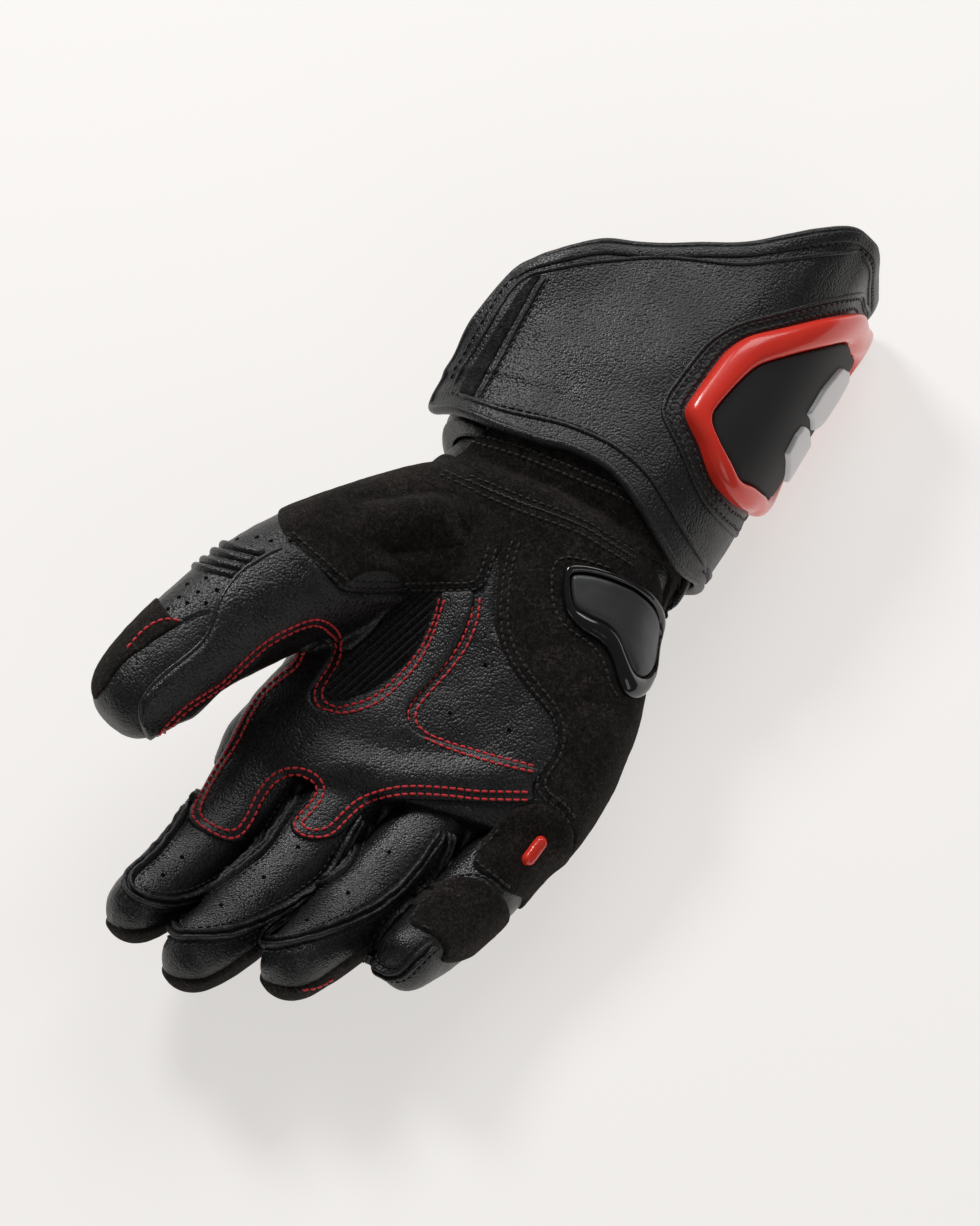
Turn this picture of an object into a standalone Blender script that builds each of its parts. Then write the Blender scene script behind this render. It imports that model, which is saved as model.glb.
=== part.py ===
"""A right-hand motorcycle gauntlet glove, lying on its back with the palm up.

Metres. +Z is up, the fingers point along -Y, the cuff along +Y and the thumb lies at -X.
The origin is the middle of the knuckle guard's flat underside, on the surface that the glove rests on.
"""
import math
from collections import namedtuple

import bmesh
import bpy
from mathutils import Vector

# Driving sizes of the hand
PALM_LENGTH = 0.102
PALM_WIDTH = 0.105
PALM_DEPTH = 0.050
WRIST_WIDTH = 0.080
KNUCKLE_DEPTH = 0.037
FINGER_DEPTH = 0.0270
FINGER_GAP = 0.0010
KNUCKLE_SPAN = 0.0930
INDEX_LENGTH = 0.083
MIDDLE_LENGTH = 0.085
RING_LENGTH = 0.073
LITTLE_LENGTH = 0.056
THUMB_LENGTH = 0.125
THUMB_WIDTH = 0.042
LEATHER = 0.0018

# Gaps between touching pieces
SEAM_GAP = 0.0004
FINGER_SEAM_GAP = 0.0003

# Patches sewn on the hand
PATCH_THICKNESS = 0.0016
OVERLAY_THICKNESS = 0.0012
KNIT_THICKNESS = 0.0008
PALM_SLIDER_HEIGHT = 0.0030
PALM_INSERT_HEIGHT = 0.0021
PALM_SLIDER_RIM = 0.0036
LITTLE_SLIDER_HEIGHT = 0.0022
LITTLE_SLIDER_LENGTH = 0.0085
LITTLE_SLIDER_WIDTH = 0.0046
STRAP_THICKNESS = 0.0016

# Guard on the back of the knuckles
GUARD_LENGTH = 0.030
GUARD_WIDTH = 0.096
GUARD_RISE = 0.0130
GUARD_FLAT_SHARE = 0.62

# Gauntlet cuff and its wrap
CUFF_LENGTH = 0.0886
CUFF_WALL = 0.0024
CUFF_CLEARANCE = 0.0012
MOUTH_WIDTH = 0.0765
MOUTH_DEPTH = 0.067
WRIST_CUFF_DEPTH = 0.0575
WRIST_LIFT = 0.0043
FLAP_THICKNESS = 0.0028
FLAP_GAP = 0.0007
FLAP_LIFT = 0.0060
END_STRIP_THICKNESS = 0.0010

# Slider on the cuff's outer side
SLIDER_HEIGHT = 0.0046
SLIDER_RIM = 0.0070
SLIDER_INSERT_HEIGHT = 0.0034
BAR_HEIGHT = 0.0010

# Facets
HAND_SIDES = 32
FINGER_SIDES = 14
THUMB_SIDES = 20
CUFF_SIDES = 36
GUARD_SIDES = 20
OUTLINE_STEP = 0.0072

# Where the guard's middle lies along the palm, from the wrist, and the knuckle line's own slant
GUARD_ALONG = 0.88
KNUCKLE_SLANT = 0.42

HandRow = namedtuple("HandRow", "along across height half_width half_depth squareness slant")
FingerRow = namedtuple("FingerRow", "along pitch half_width half_depth squareness")
ThumbRow = namedtuple("ThumbRow", "outward forward upward half_width half_depth squareness")
CuffRow = namedtuple("CuffRow", "along sideways flare squareness slant tilt")
Finger = namedtuple("Finger", "name root length lean curl girth")

# along is a share of PALM_LENGTH from the wrist. across is a share of PALM_WIDTH.
# height and half_depth are shares of PALM_DEPTH, half_width is a share of PALM_WIDTH.
HAND_ROWS = (
    HandRow(-0.118, -0.195, 0.665, 0.372, 0.495, 2.3, 0.00),
    HandRow(0.000, -0.190, 0.660, 0.381, 0.500, 2.3, 0.00),
    HandRow(0.157, -0.171, 0.640, 0.410, 0.500, 2.3, 0.00),
    HandRow(0.402, -0.100, 0.605, 0.472, 0.480, 2.4, 0.05),
    HandRow(0.627, -0.055, 0.565, 0.488, 0.425, 2.6, 0.12),
    HandRow(0.843, -0.019, 0.520, 0.482, 0.368, 2.8, 0.24),
    HandRow(1.000, 0.000, 0.485, 0.466, 0.320, 3.0, 0.36),
    HandRow(1.064, 0.006, 0.478, 0.448, 0.286, 3.0, KNUCKLE_SLANT),
)

# along is a share of the finger's length, pitch is in degrees at a curl of 1.
# half_width is a share of the finger's width and half_depth of FINGER_DEPTH.
FINGER_ROWS = (
    FingerRow(0.00, 0, 0.500, 0.510, 2.6),
    FingerRow(0.24, 1, 0.500, 0.505, 2.5),
    FingerRow(0.38, 8, 0.498, 0.480, 2.4),
    FingerRow(0.56, 15, 0.482, 0.460, 2.3),
    FingerRow(0.76, 24, 0.445, 0.440, 2.2),
    FingerRow(0.90, 29, 0.398, 0.385, 2.1),
    FingerRow(0.97, 31, 0.300, 0.285, 2.0),
    FingerRow(1.00, 32, 0.170, 0.150, 2.0),
)
# root is a share of PALM_LENGTH, lean is in degrees, girth is relative to the index finger's.
FINGERS = (
    Finger("index_finger", 1.04, INDEX_LENGTH, 2.8, 0.92, 1.00),
    Finger("middle_finger", 1.04, MIDDLE_LENGTH, 2.0, 1.02, 1.00),
    Finger("ring_finger", 0.99, RING_LENGTH, 1.0, 1.08, 0.98),
    Finger("little_finger", 0.91, LITTLE_LENGTH, 0.2, 1.00, 0.94),
)
FINGER_ROOT_HEIGHT = 0.455

# outward, forward and upward are shares of THUMB_LENGTH from the thumb's root.
# half_width and half_depth are shares of THUMB_WIDTH.
THUMB_ROWS = (
    ThumbRow(-0.070, -0.090, -0.040, 0.330, 0.330, 2.2),
    ThumbRow(-0.010, 0.000, 0.000, 0.430, 0.440, 2.2),
    ThumbRow(0.046, 0.144, 0.048, 0.480, 0.470, 2.2),
    ThumbRow(0.112, 0.320, 0.100, 0.470, 0.460, 2.2),
    ThumbRow(0.162, 0.480, 0.136, 0.448, 0.440, 2.2),
    ThumbRow(0.190, 0.640, 0.152, 0.408, 0.405, 2.2),
    ThumbRow(0.206, 0.800, 0.154, 0.369, 0.357, 2.2),
    ThumbRow(0.208, 0.900, 0.154, 0.310, 0.298, 2.1),
    ThumbRow(0.208, 0.950, 0.154, 0.215, 0.205, 2.0),
    ThumbRow(0.208, 0.968, 0.154, 0.110, 0.105, 2.0),
)
THUMB_ROOT_ACROSS = -0.400
THUMB_ROOT_ALONG = 0.255
THUMB_ROOT_HEIGHT = 0.760

# along is a share of CUFF_LENGTH from the wrist, sideways is a share of MOUTH_WIDTH.
# flare runs from 0 at the wrist's size to 1 at the mouth's. slant and tilt lean the ring's outline.
CUFF_ROWS = (
    CuffRow(-0.02, 0.000, 0.00, 2.3, 0.04, 0.00),
    CuffRow(0.10, -0.030, 0.10, 2.4, 0.15, -0.01),
    CuffRow(0.25, -0.070, 0.25, 2.6, 0.29, -0.04),
    CuffRow(0.60, -0.165, 0.60, 3.1, 0.63, -0.11),
    CuffRow(1.00, -0.267, 1.00, 3.6, 1.02, -0.19),
)
CUFF_CENTRE_ACROSS = -0.190


# Outlines of what is sewn on the palm: x is a share of PALM_WIDTH, along a share of PALM_LENGTH.
# Each goes round once, and its corners are rounded by a curve through the points.
THENAR_OUTLINE = (
    (-0.667, 0.690), (-0.579, 0.735), (-0.444, 0.750), (-0.385, 0.700), (-0.315, 0.598), (-0.235, 0.520),
    (-0.160, 0.440), (-0.173, 0.381), (-0.196, 0.304), (-0.250, 0.220), (-0.300, 0.185), (-0.441, 0.200),
    (-0.600, 0.225), (-0.760, 0.420),
)
HEEL_OUTLINE = (
    (-0.186, 0.290), (-0.110, 0.390), (-0.060, 0.479), (-0.013, 0.524), (0.142, 0.586), (0.207, 0.597),
    (0.261, 0.635), (0.292, 0.723), (0.325, 0.775), (0.420, 0.775), (0.540, 0.790), (0.600, 0.500),
    (0.520, 0.160), (0.250, 0.050), (0.108, 0.075), (-0.018, 0.115), (-0.139, 0.150), (-0.230, 0.180),
    (-0.215, 0.230),
)
OVERLAY_OUTLINE = (
    (-0.150, 0.470), (-0.110, 0.575), (-0.105, 0.675), (-0.100, 0.790), (-0.078, 0.840), (-0.026, 0.848),
    (0.082, 0.815), (0.262, 0.735), (0.310, 0.812), (0.262, 0.875), (0.141, 0.955), (0.017, 1.030),
    (-0.090, 1.040), (-0.220, 1.035), (-0.330, 1.030), (-0.400, 0.960), (-0.430, 0.880), (-0.395, 0.820),
    (-0.365, 0.860), (-0.350, 0.935), (-0.308, 0.975), (-0.258, 0.954), (-0.200, 0.851), (-0.180, 0.750),
    (-0.182, 0.660), (-0.205, 0.580),
)
KNIT_OUTLINE = (
    (-0.300, 0.620), (-0.318, 0.700), (-0.338, 0.809), (-0.340, 0.860), (-0.318, 0.925), (-0.275, 0.930),
    (-0.249, 0.900), (-0.215, 0.839), (-0.194, 0.746), (-0.198, 0.662), (-0.222, 0.590), (-0.255, 0.560),
)
PALM_SLIDER_OUTLINE = (
    (-0.018, 0.246), (0.023, 0.198), (0.101, 0.149), (0.200, 0.105), (0.280, 0.110), (0.350, 0.200),
    (0.380, 0.330), (0.345, 0.385), (0.300, 0.380), (0.252, 0.357), (0.176, 0.344), (0.090, 0.354),
    (0.020, 0.300),
)
LITTLE_BASE_OUTLINE = (
    (0.300, 1.042), (0.284, 0.951), (0.300, 0.868), (0.350, 0.822), (0.430, 0.822), (0.560, 0.850),
    (0.560, 1.080), (0.440, 1.060), (0.336, 1.053),
)
LITTLE_TIP_OUTLINE = (
    (0.330, 1.290), (0.262, 1.240), (0.262, 1.141), (0.316, 1.105), (0.420, 1.095), (0.560, 1.120),
    (0.560, 1.300), (0.440, 1.320),
)
LITTLE_SLIDER_PLACE = (0.418, 0.945)

# The wrist's band, in steps of the hand's sides from +X over the palm, and its alongs from the wrist
WRIST_PATCH_STEPS = (6, 11)
STRAP_STEPS = (12, 29)
BAND_ALONGS = (0.040, 0.078, 0.135)
BAND_NARROWING = 0.25

# The flap covers these steps of the cuff's sides, from +X over the palm side, and these alongs.
FLAP_STEPS = (-5, 16)
FLAP_ALONGS = (0.025, 1.0)
FLAP_END_DEGREES = (170, 138)
END_STRIP_STEPS = (13.9, 14.9)
END_STRIP_ALONGS = (0.12, 0.90)

# The cuff slider's outline as (along, angle in degrees) on the flap.
CUFF_SLIDER_OUTLINE = (
    (0.215, 12), (0.201, 33), (0.245, 53), (0.320, 67), (0.440, 68), (0.565, 66), (0.640, 56),
    (0.740, 26), (0.830, 2), (0.870, -16), (0.780, -32), (0.560, -36), (0.360, -24), (0.250, -6),
)
BAR_PLACES = (0.44, 0.58)
BAR_LENGTH = 0.09
BAR_DEGREES = (-14, 16)

# Colours from the photograph, as Principled BSDF values
FINISHES = {
    "leather": ((0.018, 0.019, 0.020), 0.48, 0.0),
    "suede": ((0.014, 0.012, 0.011), 0.95, 0.0),
    "knit": ((0.010, 0.010, 0.011), 0.85, 0.0),
    "red_plastic": ((0.80, 0.035, 0.02), 0.28, 0.0),
    "black_plastic": ((0.016, 0.015, 0.016), 0.40, 0.0),
    "gloss_plastic": ((0.008, 0.008, 0.009), 0.08, 0.0),
    "grey_plastic": ((0.055, 0.056, 0.058), 0.45, 0.0),
    "silver_plastic": ((0.55, 0.55, 0.55), 0.35, 0.0),
}


def material_of(finish):
    """The Principled BSDF material of one finish, made once."""
    found = bpy.data.materials.get(finish)
    if found:
        return found
    colour, roughness, metallic = FINISHES[finish]
    made = bpy.data.materials.new(finish)
    made.use_nodes = True
    shader = made.node_tree.nodes["Principled BSDF"]
    shader.inputs["Base Color"].default_value = (*colour, 1.0)
    shader.inputs["Roughness"].default_value = roughness
    shader.inputs["Metallic"].default_value = metallic
    made.diffuse_color = (*colour, 1.0)
    return made


def clear_scene():
    for obj in list(bpy.data.objects):
        bpy.data.objects.remove(obj)


def spline_value(before, start, end, after, share):
    """Catmull-Rom value between start and end."""
    return 0.5 * (
        2 * start
        + (end - before) * share
        + (2 * before - 5 * start + 4 * end - after) * share**2
        + (3 * start - before - 3 * end + after) * share**3
    )


def between_rows(rows, place):
    """The row at a fractional place, each column on a smooth curve through the table."""
    first = min(int(place), len(rows) - 2)
    share = place - first
    around = [rows[min(max(first + k, 0), len(rows) - 1)] for k in (-1, 0, 1, 2)]
    return type(rows[0])(*(spline_value(*column, share) for column in zip(*around)))


def denser(rows, steps):
    """The table's rows with steps - 1 smooth rows between each two."""
    last = len(rows) - 1
    return [between_rows(rows, k / steps) for k in range(last * steps + 1)]


def superellipse(angle, half_width, half_depth, squareness):
    """A point of a rounded outline, from an ellipse at squareness 2 towards a rectangle."""
    c, s = math.cos(angle), math.sin(angle)
    x = math.copysign(abs(c) ** (2 / squareness), c) * half_width
    y = math.copysign(abs(s) ** (2 / squareness), s) * half_depth
    return x, y


def ring_points(centre, across, upward, half_width, half_depth, squareness, sides):
    points = []
    for k in range(sides):
        x, y = superellipse(2 * math.pi * k / sides, half_width, half_depth, squareness)
        points.append(centre + across * x + upward * y)
    return points


def object_of(name, work, finish=None):
    """An object from a finished bmesh, with its faces pointing out."""
    bmesh.ops.recalc_face_normals(work, faces=work.faces)
    mesh = bpy.data.meshes.new(name)
    work.to_mesh(mesh)
    work.free()
    obj = bpy.data.objects.new(name, mesh)
    bpy.context.scene.collection.objects.link(obj)
    if finish:
        finish_piece(obj, finish)
    return obj


def finish_piece(obj, finish):
    obj.data.materials.clear()
    obj.data.materials.append(material_of(finish))
    obj.data.shade_smooth()
    obj.data.set_sharp_from_angle(angle=math.radians(50))


def loft(name, rings):
    """A closed solid through rings of equally many points, with flat ends."""
    work = bmesh.new()
    loops = [[work.verts.new(p) for p in ring] for ring in rings]
    sides = len(loops[0])
    for low, high in zip(loops, loops[1:]):
        for k in range(sides):
            work.faces.new((low[k], low[(k + 1) % sides], high[(k + 1) % sides], high[k]))
    work.faces.new(loops[0][::-1])
    work.faces.new(loops[-1])
    return object_of(name, work)


def boolean(target, tool, operation, keep_tool=False):
    """Applies one exact Boolean to target and removes the tool."""
    modifier = target.modifiers.new("cut", "BOOLEAN")
    modifier.operation = operation
    modifier.solver = "EXACT"
    modifier.object = tool
    bpy.context.view_layer.update()
    graph = bpy.context.evaluated_depsgraph_get()
    mesh = bpy.data.meshes.new_from_object(target.evaluated_get(graph))
    target.modifiers.clear()
    target.data = mesh
    if not keep_tool:
        bpy.data.objects.remove(tool)
    return target


def join_all(solids):
    """The union of several solids, in the first of them."""
    first = solids[0]
    for other in solids[1:]:
        boolean(first, other, "UNION")
    return first


def palm_y(along):
    return (GUARD_ALONG - along) * PALM_LENGTH


def hand_sizes(row):
    """Half the width and depth of the hand at one row, which follow the wrist's and knuckles' sizes."""
    width = row.half_width * PALM_WIDTH
    wrist_share = min(max(1 - row.along / 0.4, 0), 1)
    width += wrist_share * (WRIST_WIDTH / 2 - HAND_ROWS[1].half_width * PALM_WIDTH)
    depth = row.half_depth * PALM_DEPTH
    knuckle_share = min(max((row.along - 0.4) / 0.443, 0), 1)
    depth += knuckle_share * (KNUCKLE_DEPTH - 2 * HAND_ROWS[5].half_depth * PALM_DEPTH) / 2
    return width, depth


def hand_rings(offset, start_trim=0.0, end_trim=0.0):
    """Rings of the hand's outer form grown by offset; the trims move its flat ends inwards."""
    rows = denser(HAND_ROWS, 2)
    rings = []
    for k, row in enumerate(rows):
        y = palm_y(row.along)
        if k == 0:
            y -= start_trim
        if k == len(rows) - 1:
            y += end_trim
        width, depth = hand_sizes(row)
        centre = Vector((row.across * PALM_WIDTH, y, row.height * PALM_DEPTH))
        rings.append(
            ring_points(
                centre, Vector((1, row.slant, 0)), Vector((0, 0, 1)),
                width + offset, depth + offset, row.squareness, HAND_SIDES,
            )
        )
    return rings


def hand_solid(offset, start_trim=0.0, end_trim=0.0):
    return loft("hand_form", hand_rings(offset, start_trim, end_trim))


def finger_width(finger):
    """The four fingers and the gaps between them fill the knuckle span."""
    span = KNUCKLE_SPAN - FINGER_GAP * (len(FINGERS) - 1)
    return span * finger.girth / sum(other.girth for other in FINGERS)


def finger_x(finger):
    x = HAND_ROWS[-1].across * PALM_WIDTH - KNUCKLE_SPAN / 2
    for other in FINGERS:
        if other is finger:
            return x + finger_width(other) / 2
        x += finger_width(other) + FINGER_GAP


def finger_centres(finger):
    """The finger's centre line as (row, centre, direction), curling up from the knuckles."""
    rows = denser(FINGER_ROWS, 1)
    lean = math.radians(finger.lean)
    centre = Vector((
        finger_x(finger),
        palm_y(finger.root),
        FINGER_ROOT_HEIGHT * PALM_DEPTH,
    ))
    placed = []
    before = None
    for row in rows:
        pitch = math.radians(row.pitch * finger.curl)
        way = Vector((math.sin(lean) * math.cos(pitch), -math.cos(lean) * math.cos(pitch), math.sin(pitch)))
        if before is not None:
            centre = centre + way * (row.along - before.along) * finger.length
        placed.append((row, centre.copy(), way))
        before = row
    return placed


def finger_rings(finger, offset, tip_trim=0.0, root_extra=0.0):
    """Rings of a finger grown by offset; tip_trim shortens it and root_extra lengthens its root."""
    placed = finger_centres(finger)
    rings = []
    for k, (row, centre, way) in enumerate(placed):
        way_next = placed[min(k + 1, len(placed) - 1)][2]
        tangent = (way + way_next).normalized()
        across = Vector((1, 0, 0))
        across = (across - tangent * across.dot(tangent)).normalized()
        upward = across.cross(tangent)
        if upward.z < 0:
            upward = -upward
        centre = centre - tangent * tip_trim * min(1.0, row.along * 1.2)
        if k == 0:
            centre = centre - way * root_extra
        rings.append(
            ring_points(
                centre, across, upward,
                max(row.half_width * finger_width(finger) + offset, 0.0006),
                max(row.half_depth * FINGER_DEPTH * finger.girth + offset, 0.0006),
                row.squareness, FINGER_SIDES,
            )
        )
    return rings


def finger_solid(finger, offset, tip_trim=0.0, root_extra=0.0):
    return loft(finger.name + "_form", finger_rings(finger, offset, tip_trim, root_extra))


def thumb_centre(row):
    root = Vector((
        THUMB_ROOT_ACROSS * PALM_WIDTH,
        palm_y(THUMB_ROOT_ALONG),
        THUMB_ROOT_HEIGHT * PALM_DEPTH,
    ))
    return root + Vector((-row.outward, -row.forward, row.upward)) * THUMB_LENGTH


def thumb_rings(offset, tip_trim=0.0):
    rows = THUMB_ROWS
    centres = [thumb_centre(row) for row in rows]
    rings = []
    for k, row in enumerate(rows):
        tangent = centres[min(k + 1, len(rows) - 1)] - centres[max(k - 1, 0)]
        tangent.normalize()
        across = Vector((1, 0, 0))
        across = (across - tangent * across.dot(tangent)).normalized()
        upward = across.cross(tangent)
        if upward.z < 0:
            upward = -upward
        centre = centres[k] - tangent * tip_trim * k / (len(rows) - 1)
        rings.append(
            ring_points(
                centre, across, upward,
                max(row.half_width * THUMB_WIDTH + offset, 0.0006),
                max(row.half_depth * THUMB_WIDTH + offset, 0.0006),
                row.squareness, THUMB_SIDES,
            )
        )
    return rings


def thumb_solid(offset, tip_trim=0.0):
    return loft("thumb_form", thumb_rings(offset, tip_trim))


def box_side(name, centre, direction, reach):
    """A large box on the side of a plane that direction points to."""
    direction = direction.normalized()
    across = direction.orthogonal().normalized()
    upward = direction.cross(across)
    work = bmesh.new()
    corners = []
    for depth in (0, reach):
        for a, b in ((-reach, -reach), (reach, -reach), (reach, reach), (-reach, reach)):
            corners.append(work.verts.new(centre + direction * depth + across * a + upward * b))
    for face in ((3, 2, 1, 0), (4, 5, 6, 7), (0, 1, 5, 4), (1, 2, 6, 5), (2, 3, 7, 6), (3, 0, 4, 7)):
        work.faces.new([corners[k] for k in face])
    return object_of(name, work)


def knuckle_side(extra):
    """The fingers' side of the knuckle line, moved out by extra."""
    row = HAND_ROWS[-1]
    centre = Vector((row.across * PALM_WIDTH, palm_y(row.along) - extra, 0))
    return box_side("knuckle_side", centre, Vector((KNUCKLE_SLANT, -1, 0)), PALM_LENGTH * 2)


def keep_largest(obj):
    """Leaves the largest closed shell of an object and drops the slivers that a cut can leave."""
    work = bmesh.new()
    work.from_mesh(obj.data)
    work.faces.ensure_lookup_table()
    unseen = set(work.faces)
    groups = []
    while unseen:
        stack = [unseen.pop()]
        group = []
        while stack:
            face = stack.pop()
            group.append(face)
            for edge in face.edges:
                for other in edge.link_faces:
                    if other in unseen:
                        unseen.discard(other)
                        stack.append(other)
        groups.append(group)
    groups.sort(key=lambda group: sum(face.calc_area() for face in group))
    for group in groups[:-1]:
        bmesh.ops.delete(work, geom=group, context="FACES")
    bmesh.ops.delete(work, geom=[v for v in work.verts if not v.link_faces], context="VERTS")
    work.to_mesh(obj.data)
    work.free()


def smooth_outline(points, step):
    """A closed curve through the points, with corners no longer than step."""
    count = len(points)
    curve = []
    for k in range(count):
        around = [Vector(points[(k + j) % count]) for j in (-1, 0, 1, 2)]
        pieces = max(1, round((around[2] - around[1]).length / step))
        for j in range(pieces):
            curve.append(Vector([spline_value(*values, j / pieces) for values in zip(*around)]))
    return curve


def plan_outline(shares):
    """An outline of palm shares in metres."""
    return smooth_outline([(x * PALM_WIDTH, palm_y(along)) for x, along in shares], OUTLINE_STEP)


def inset_outline(points, distance):
    """The outline moved inwards by distance, along the mean of its two sides' normals."""
    count = len(points)
    area = sum(points[k].cross(points[(k + 1) % count]) for k in range(count))
    turn = 1 if area > 0 else -1
    moved = []
    for k in range(count):
        before = (points[k] - points[k - 1]).normalized()
        after = (points[(k + 1) % count] - points[k]).normalized()
        normal = Vector((-before.y - after.y, before.x + after.x)).normalized() * turn
        half = max(0.5, math.cos(before.angle(after, 0) / 2))
        moved.append(points[k] + normal * distance / half)
    return moved


def prism(name, outline, bottom, top):
    rings = [[Vector((p.x, p.y, z)) for p in outline] for z in (bottom, top)]
    return loft(name, rings)


def layer_piece(name, bodies, outline, bottom, low, high, finish, hole=None):
    """A skin over the bodies between two offsets, cut to an outline seen from above.

    bodies are functions that give a solid grown by an offset. bottom is the cut's lowest height.
    """
    top = PALM_DEPTH * 3
    cutter = prism(name + "_cutter", outline, bottom, top)
    if hole:
        boolean(cutter, prism("hole", hole, bottom - SEAM_GAP, top + SEAM_GAP), "DIFFERENCE")
    skin = join_all([body(high) for body in bodies])
    boolean(skin, cutter, "INTERSECT")
    boolean(skin, join_all([body(low) for body in bodies]), "DIFFERENCE")
    keep_largest(skin)
    skin.name = name
    finish_piece(skin, finish)
    return skin


def grid_piece(name, point, alongs, angles, low, high, finish, closed=False):
    """A curved wall between two offsets, from point(along, angle, offset) on a grid."""
    work = bmesh.new()
    layers = []
    for offset in (low, high):
        layers.append([[work.verts.new(point(t, angle, offset)) for angle in angles] for t in alongs])
    inner, outer = layers
    rows, columns = len(alongs), len(angles)
    steps = columns if closed else columns - 1
    for i in range(rows - 1):
        for j in range(steps):
            k = (j + 1) % columns
            work.faces.new((outer[i][j], outer[i][k], outer[i + 1][k], outer[i + 1][j]))
            work.faces.new((inner[i + 1][j], inner[i + 1][k], inner[i][k], inner[i][j]))
    for j in range(steps):
        k = (j + 1) % columns
        work.faces.new((inner[0][j], inner[0][k], outer[0][k], outer[0][j]))
        work.faces.new((outer[-1][j], outer[-1][k], inner[-1][k], inner[-1][j]))
    if not closed:
        for i in range(rows - 1):
            work.faces.new((inner[i + 1][0], inner[i][0], outer[i][0], outer[i + 1][0]))
            work.faces.new((inner[i][-1], inner[i + 1][-1], outer[i + 1][-1], outer[i][-1]))
    return object_of(name, work, finish)


def evenly(start, end, count):
    return [start + (end - start) * k / (count - 1) for k in range(count)]


def side_angles(first, last, sides):
    """The angles of a form's own corners from step first to last, so that what lies on it is parallel."""
    return [360 * k / sides for k in range(first, last + 1)]


def row_at(rows, along):
    """The table's row at a given along, on the same curve that the forms are lofted through."""
    for k in range(len(rows) - 2):
        if along <= rows[k + 1].along:
            break
    else:
        k = len(rows) - 2
    return between_rows(rows, k + (along - rows[k].along) / (rows[k + 1].along - rows[k].along))


def hand_point(along, degrees, offset):
    """A point of the hand's outer form near the wrist."""
    row = row_at(HAND_ROWS, along)
    width, depth = hand_sizes(row)
    x, z = superellipse(math.radians(degrees), width + offset, depth + offset, row.squareness)
    centre_x = row.across * PALM_WIDTH
    return Vector((centre_x + x, palm_y(along) + row.slant * x, row.height * PALM_DEPTH + z))


def band_point(along, degrees, offset):
    """A point of the wrist's band, whose far edge comes nearer the cuff from the thumb to the little finger."""
    x_share = hand_point(along, degrees, offset).x / PALM_WIDTH
    start, _, end = BAND_ALONGS
    share = (along - start) / (end - start)
    narrow = BAND_NARROWING * max(0, x_share + 0.29) * share if degrees < 180 else 0
    return hand_point(along - narrow, degrees, offset)


def cuff_point(along, degrees, offset):
    """A point of the cuff's outer form, flattened where it rests."""
    row = row_at(CUFF_ROWS, along)
    wrist_half = WRIST_WIDTH / 2 + CUFF_WALL + CUFF_CLEARANCE
    half_width = wrist_half + row.flare * (MOUTH_WIDTH / 2 - wrist_half)
    half_depth = (WRIST_CUFF_DEPTH + row.flare * (MOUTH_DEPTH - WRIST_CUFF_DEPTH)) / 2
    x, z = superellipse(math.radians(degrees), half_width + offset, half_depth + offset, row.squareness)
    centre_x = CUFF_CENTRE_ACROSS * PALM_WIDTH + row.sideways * MOUTH_WIDTH
    centre_z = WRIST_LIFT * (1 - row.flare) + half_depth
    y = palm_y(0) + along * CUFF_LENGTH + row.slant * x + row.tilt * z
    floor = max(-offset, 0)
    return Vector((centre_x + x, y, max(centre_z + z, floor)))


def flap_point(along, degrees, offset):
    """A point over the cuff, with the flap's free end slanted and lifting off."""
    start, end = 110, 360 * FLAP_STEPS[1] / CUFF_SIDES
    share = max(0, (degrees - start) / (end - start))
    slanted = FLAP_END_DEGREES[0] + (FLAP_END_DEGREES[1] - FLAP_END_DEGREES[0]) * along
    degrees = min(degrees, start) + share * (slanted - start)
    return cuff_point(along, degrees, offset + FLAP_LIFT * share**2 * (1.2 - along))


def flap_outline(points):
    """An outline of (along, degrees) in metres along the cuff and round its middle."""
    around = math.radians(1) * (MOUTH_WIDTH + MOUTH_DEPTH) / 4
    return smooth_outline([(t * CUFF_LENGTH, angle * around) for t, angle in points], OUTLINE_STEP)


def flap_place(point, offset):
    around = math.radians(1) * (MOUTH_WIDTH + MOUTH_DEPTH) / 4
    return flap_point(point.x / CUFF_LENGTH, point.y / around, offset)


def outline_ring(name, outer, inner, low, high, finish):
    """A raised ring on the flap between two outlines of equally many points."""
    work = bmesh.new()
    loops = []
    for outline, offset in ((outer, low), (outer, high), (inner, high), (inner, low)):
        loops.append([work.verts.new(flap_place(p, offset)) for p in outline])
    count = len(outer)
    for a in range(4):
        first, second = loops[a], loops[(a + 1) % 4]
        for k in range(count):
            j = (k + 1) % count
            work.faces.new((first[k], first[j], second[j], second[k]))
    return object_of(name, work, finish)


def outline_pad(name, outline, low, high, finish, rings=4):
    """A raised pad on the flap, filled towards the outline's middle."""
    middle = sum(outline, Vector((0, 0))) / len(outline)
    work = bmesh.new()
    count = len(outline)
    faces = []
    for offset in (low, high):
        loops = []
        for r in range(rings):
            share = 1 - r / rings
            loops.append([work.verts.new(flap_place(middle + (p - middle) * share, offset)) for p in outline])
        centre = work.verts.new(flap_place(middle, offset))
        for first, second in zip(loops, loops[1:]):
            for k in range(count):
                work.faces.new((first[k], first[(k + 1) % count], second[(k + 1) % count], second[k]))
        for k in range(count):
            work.faces.new((loops[-1][k], loops[-1][(k + 1) % count], centre))
        faces.append(loops[0])
    for k in range(count):
        work.faces.new((faces[0][k], faces[0][(k + 1) % count], faces[1][(k + 1) % count], faces[1][k]))
    return object_of(name, work, finish)


def make_fingers():
    """Four hollow stalls, each open where it meets the hand's end."""
    for finger in FINGERS:
        stall = finger_solid(finger, 0.0)
        boolean(stall, finger_solid(finger, -LEATHER, LEATHER, 0.002), "DIFFERENCE")
        boolean(stall, knuckle_side(FINGER_SEAM_GAP), "INTERSECT")
        stall.name = finger.name
        finish_piece(stall, "leather")


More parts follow.
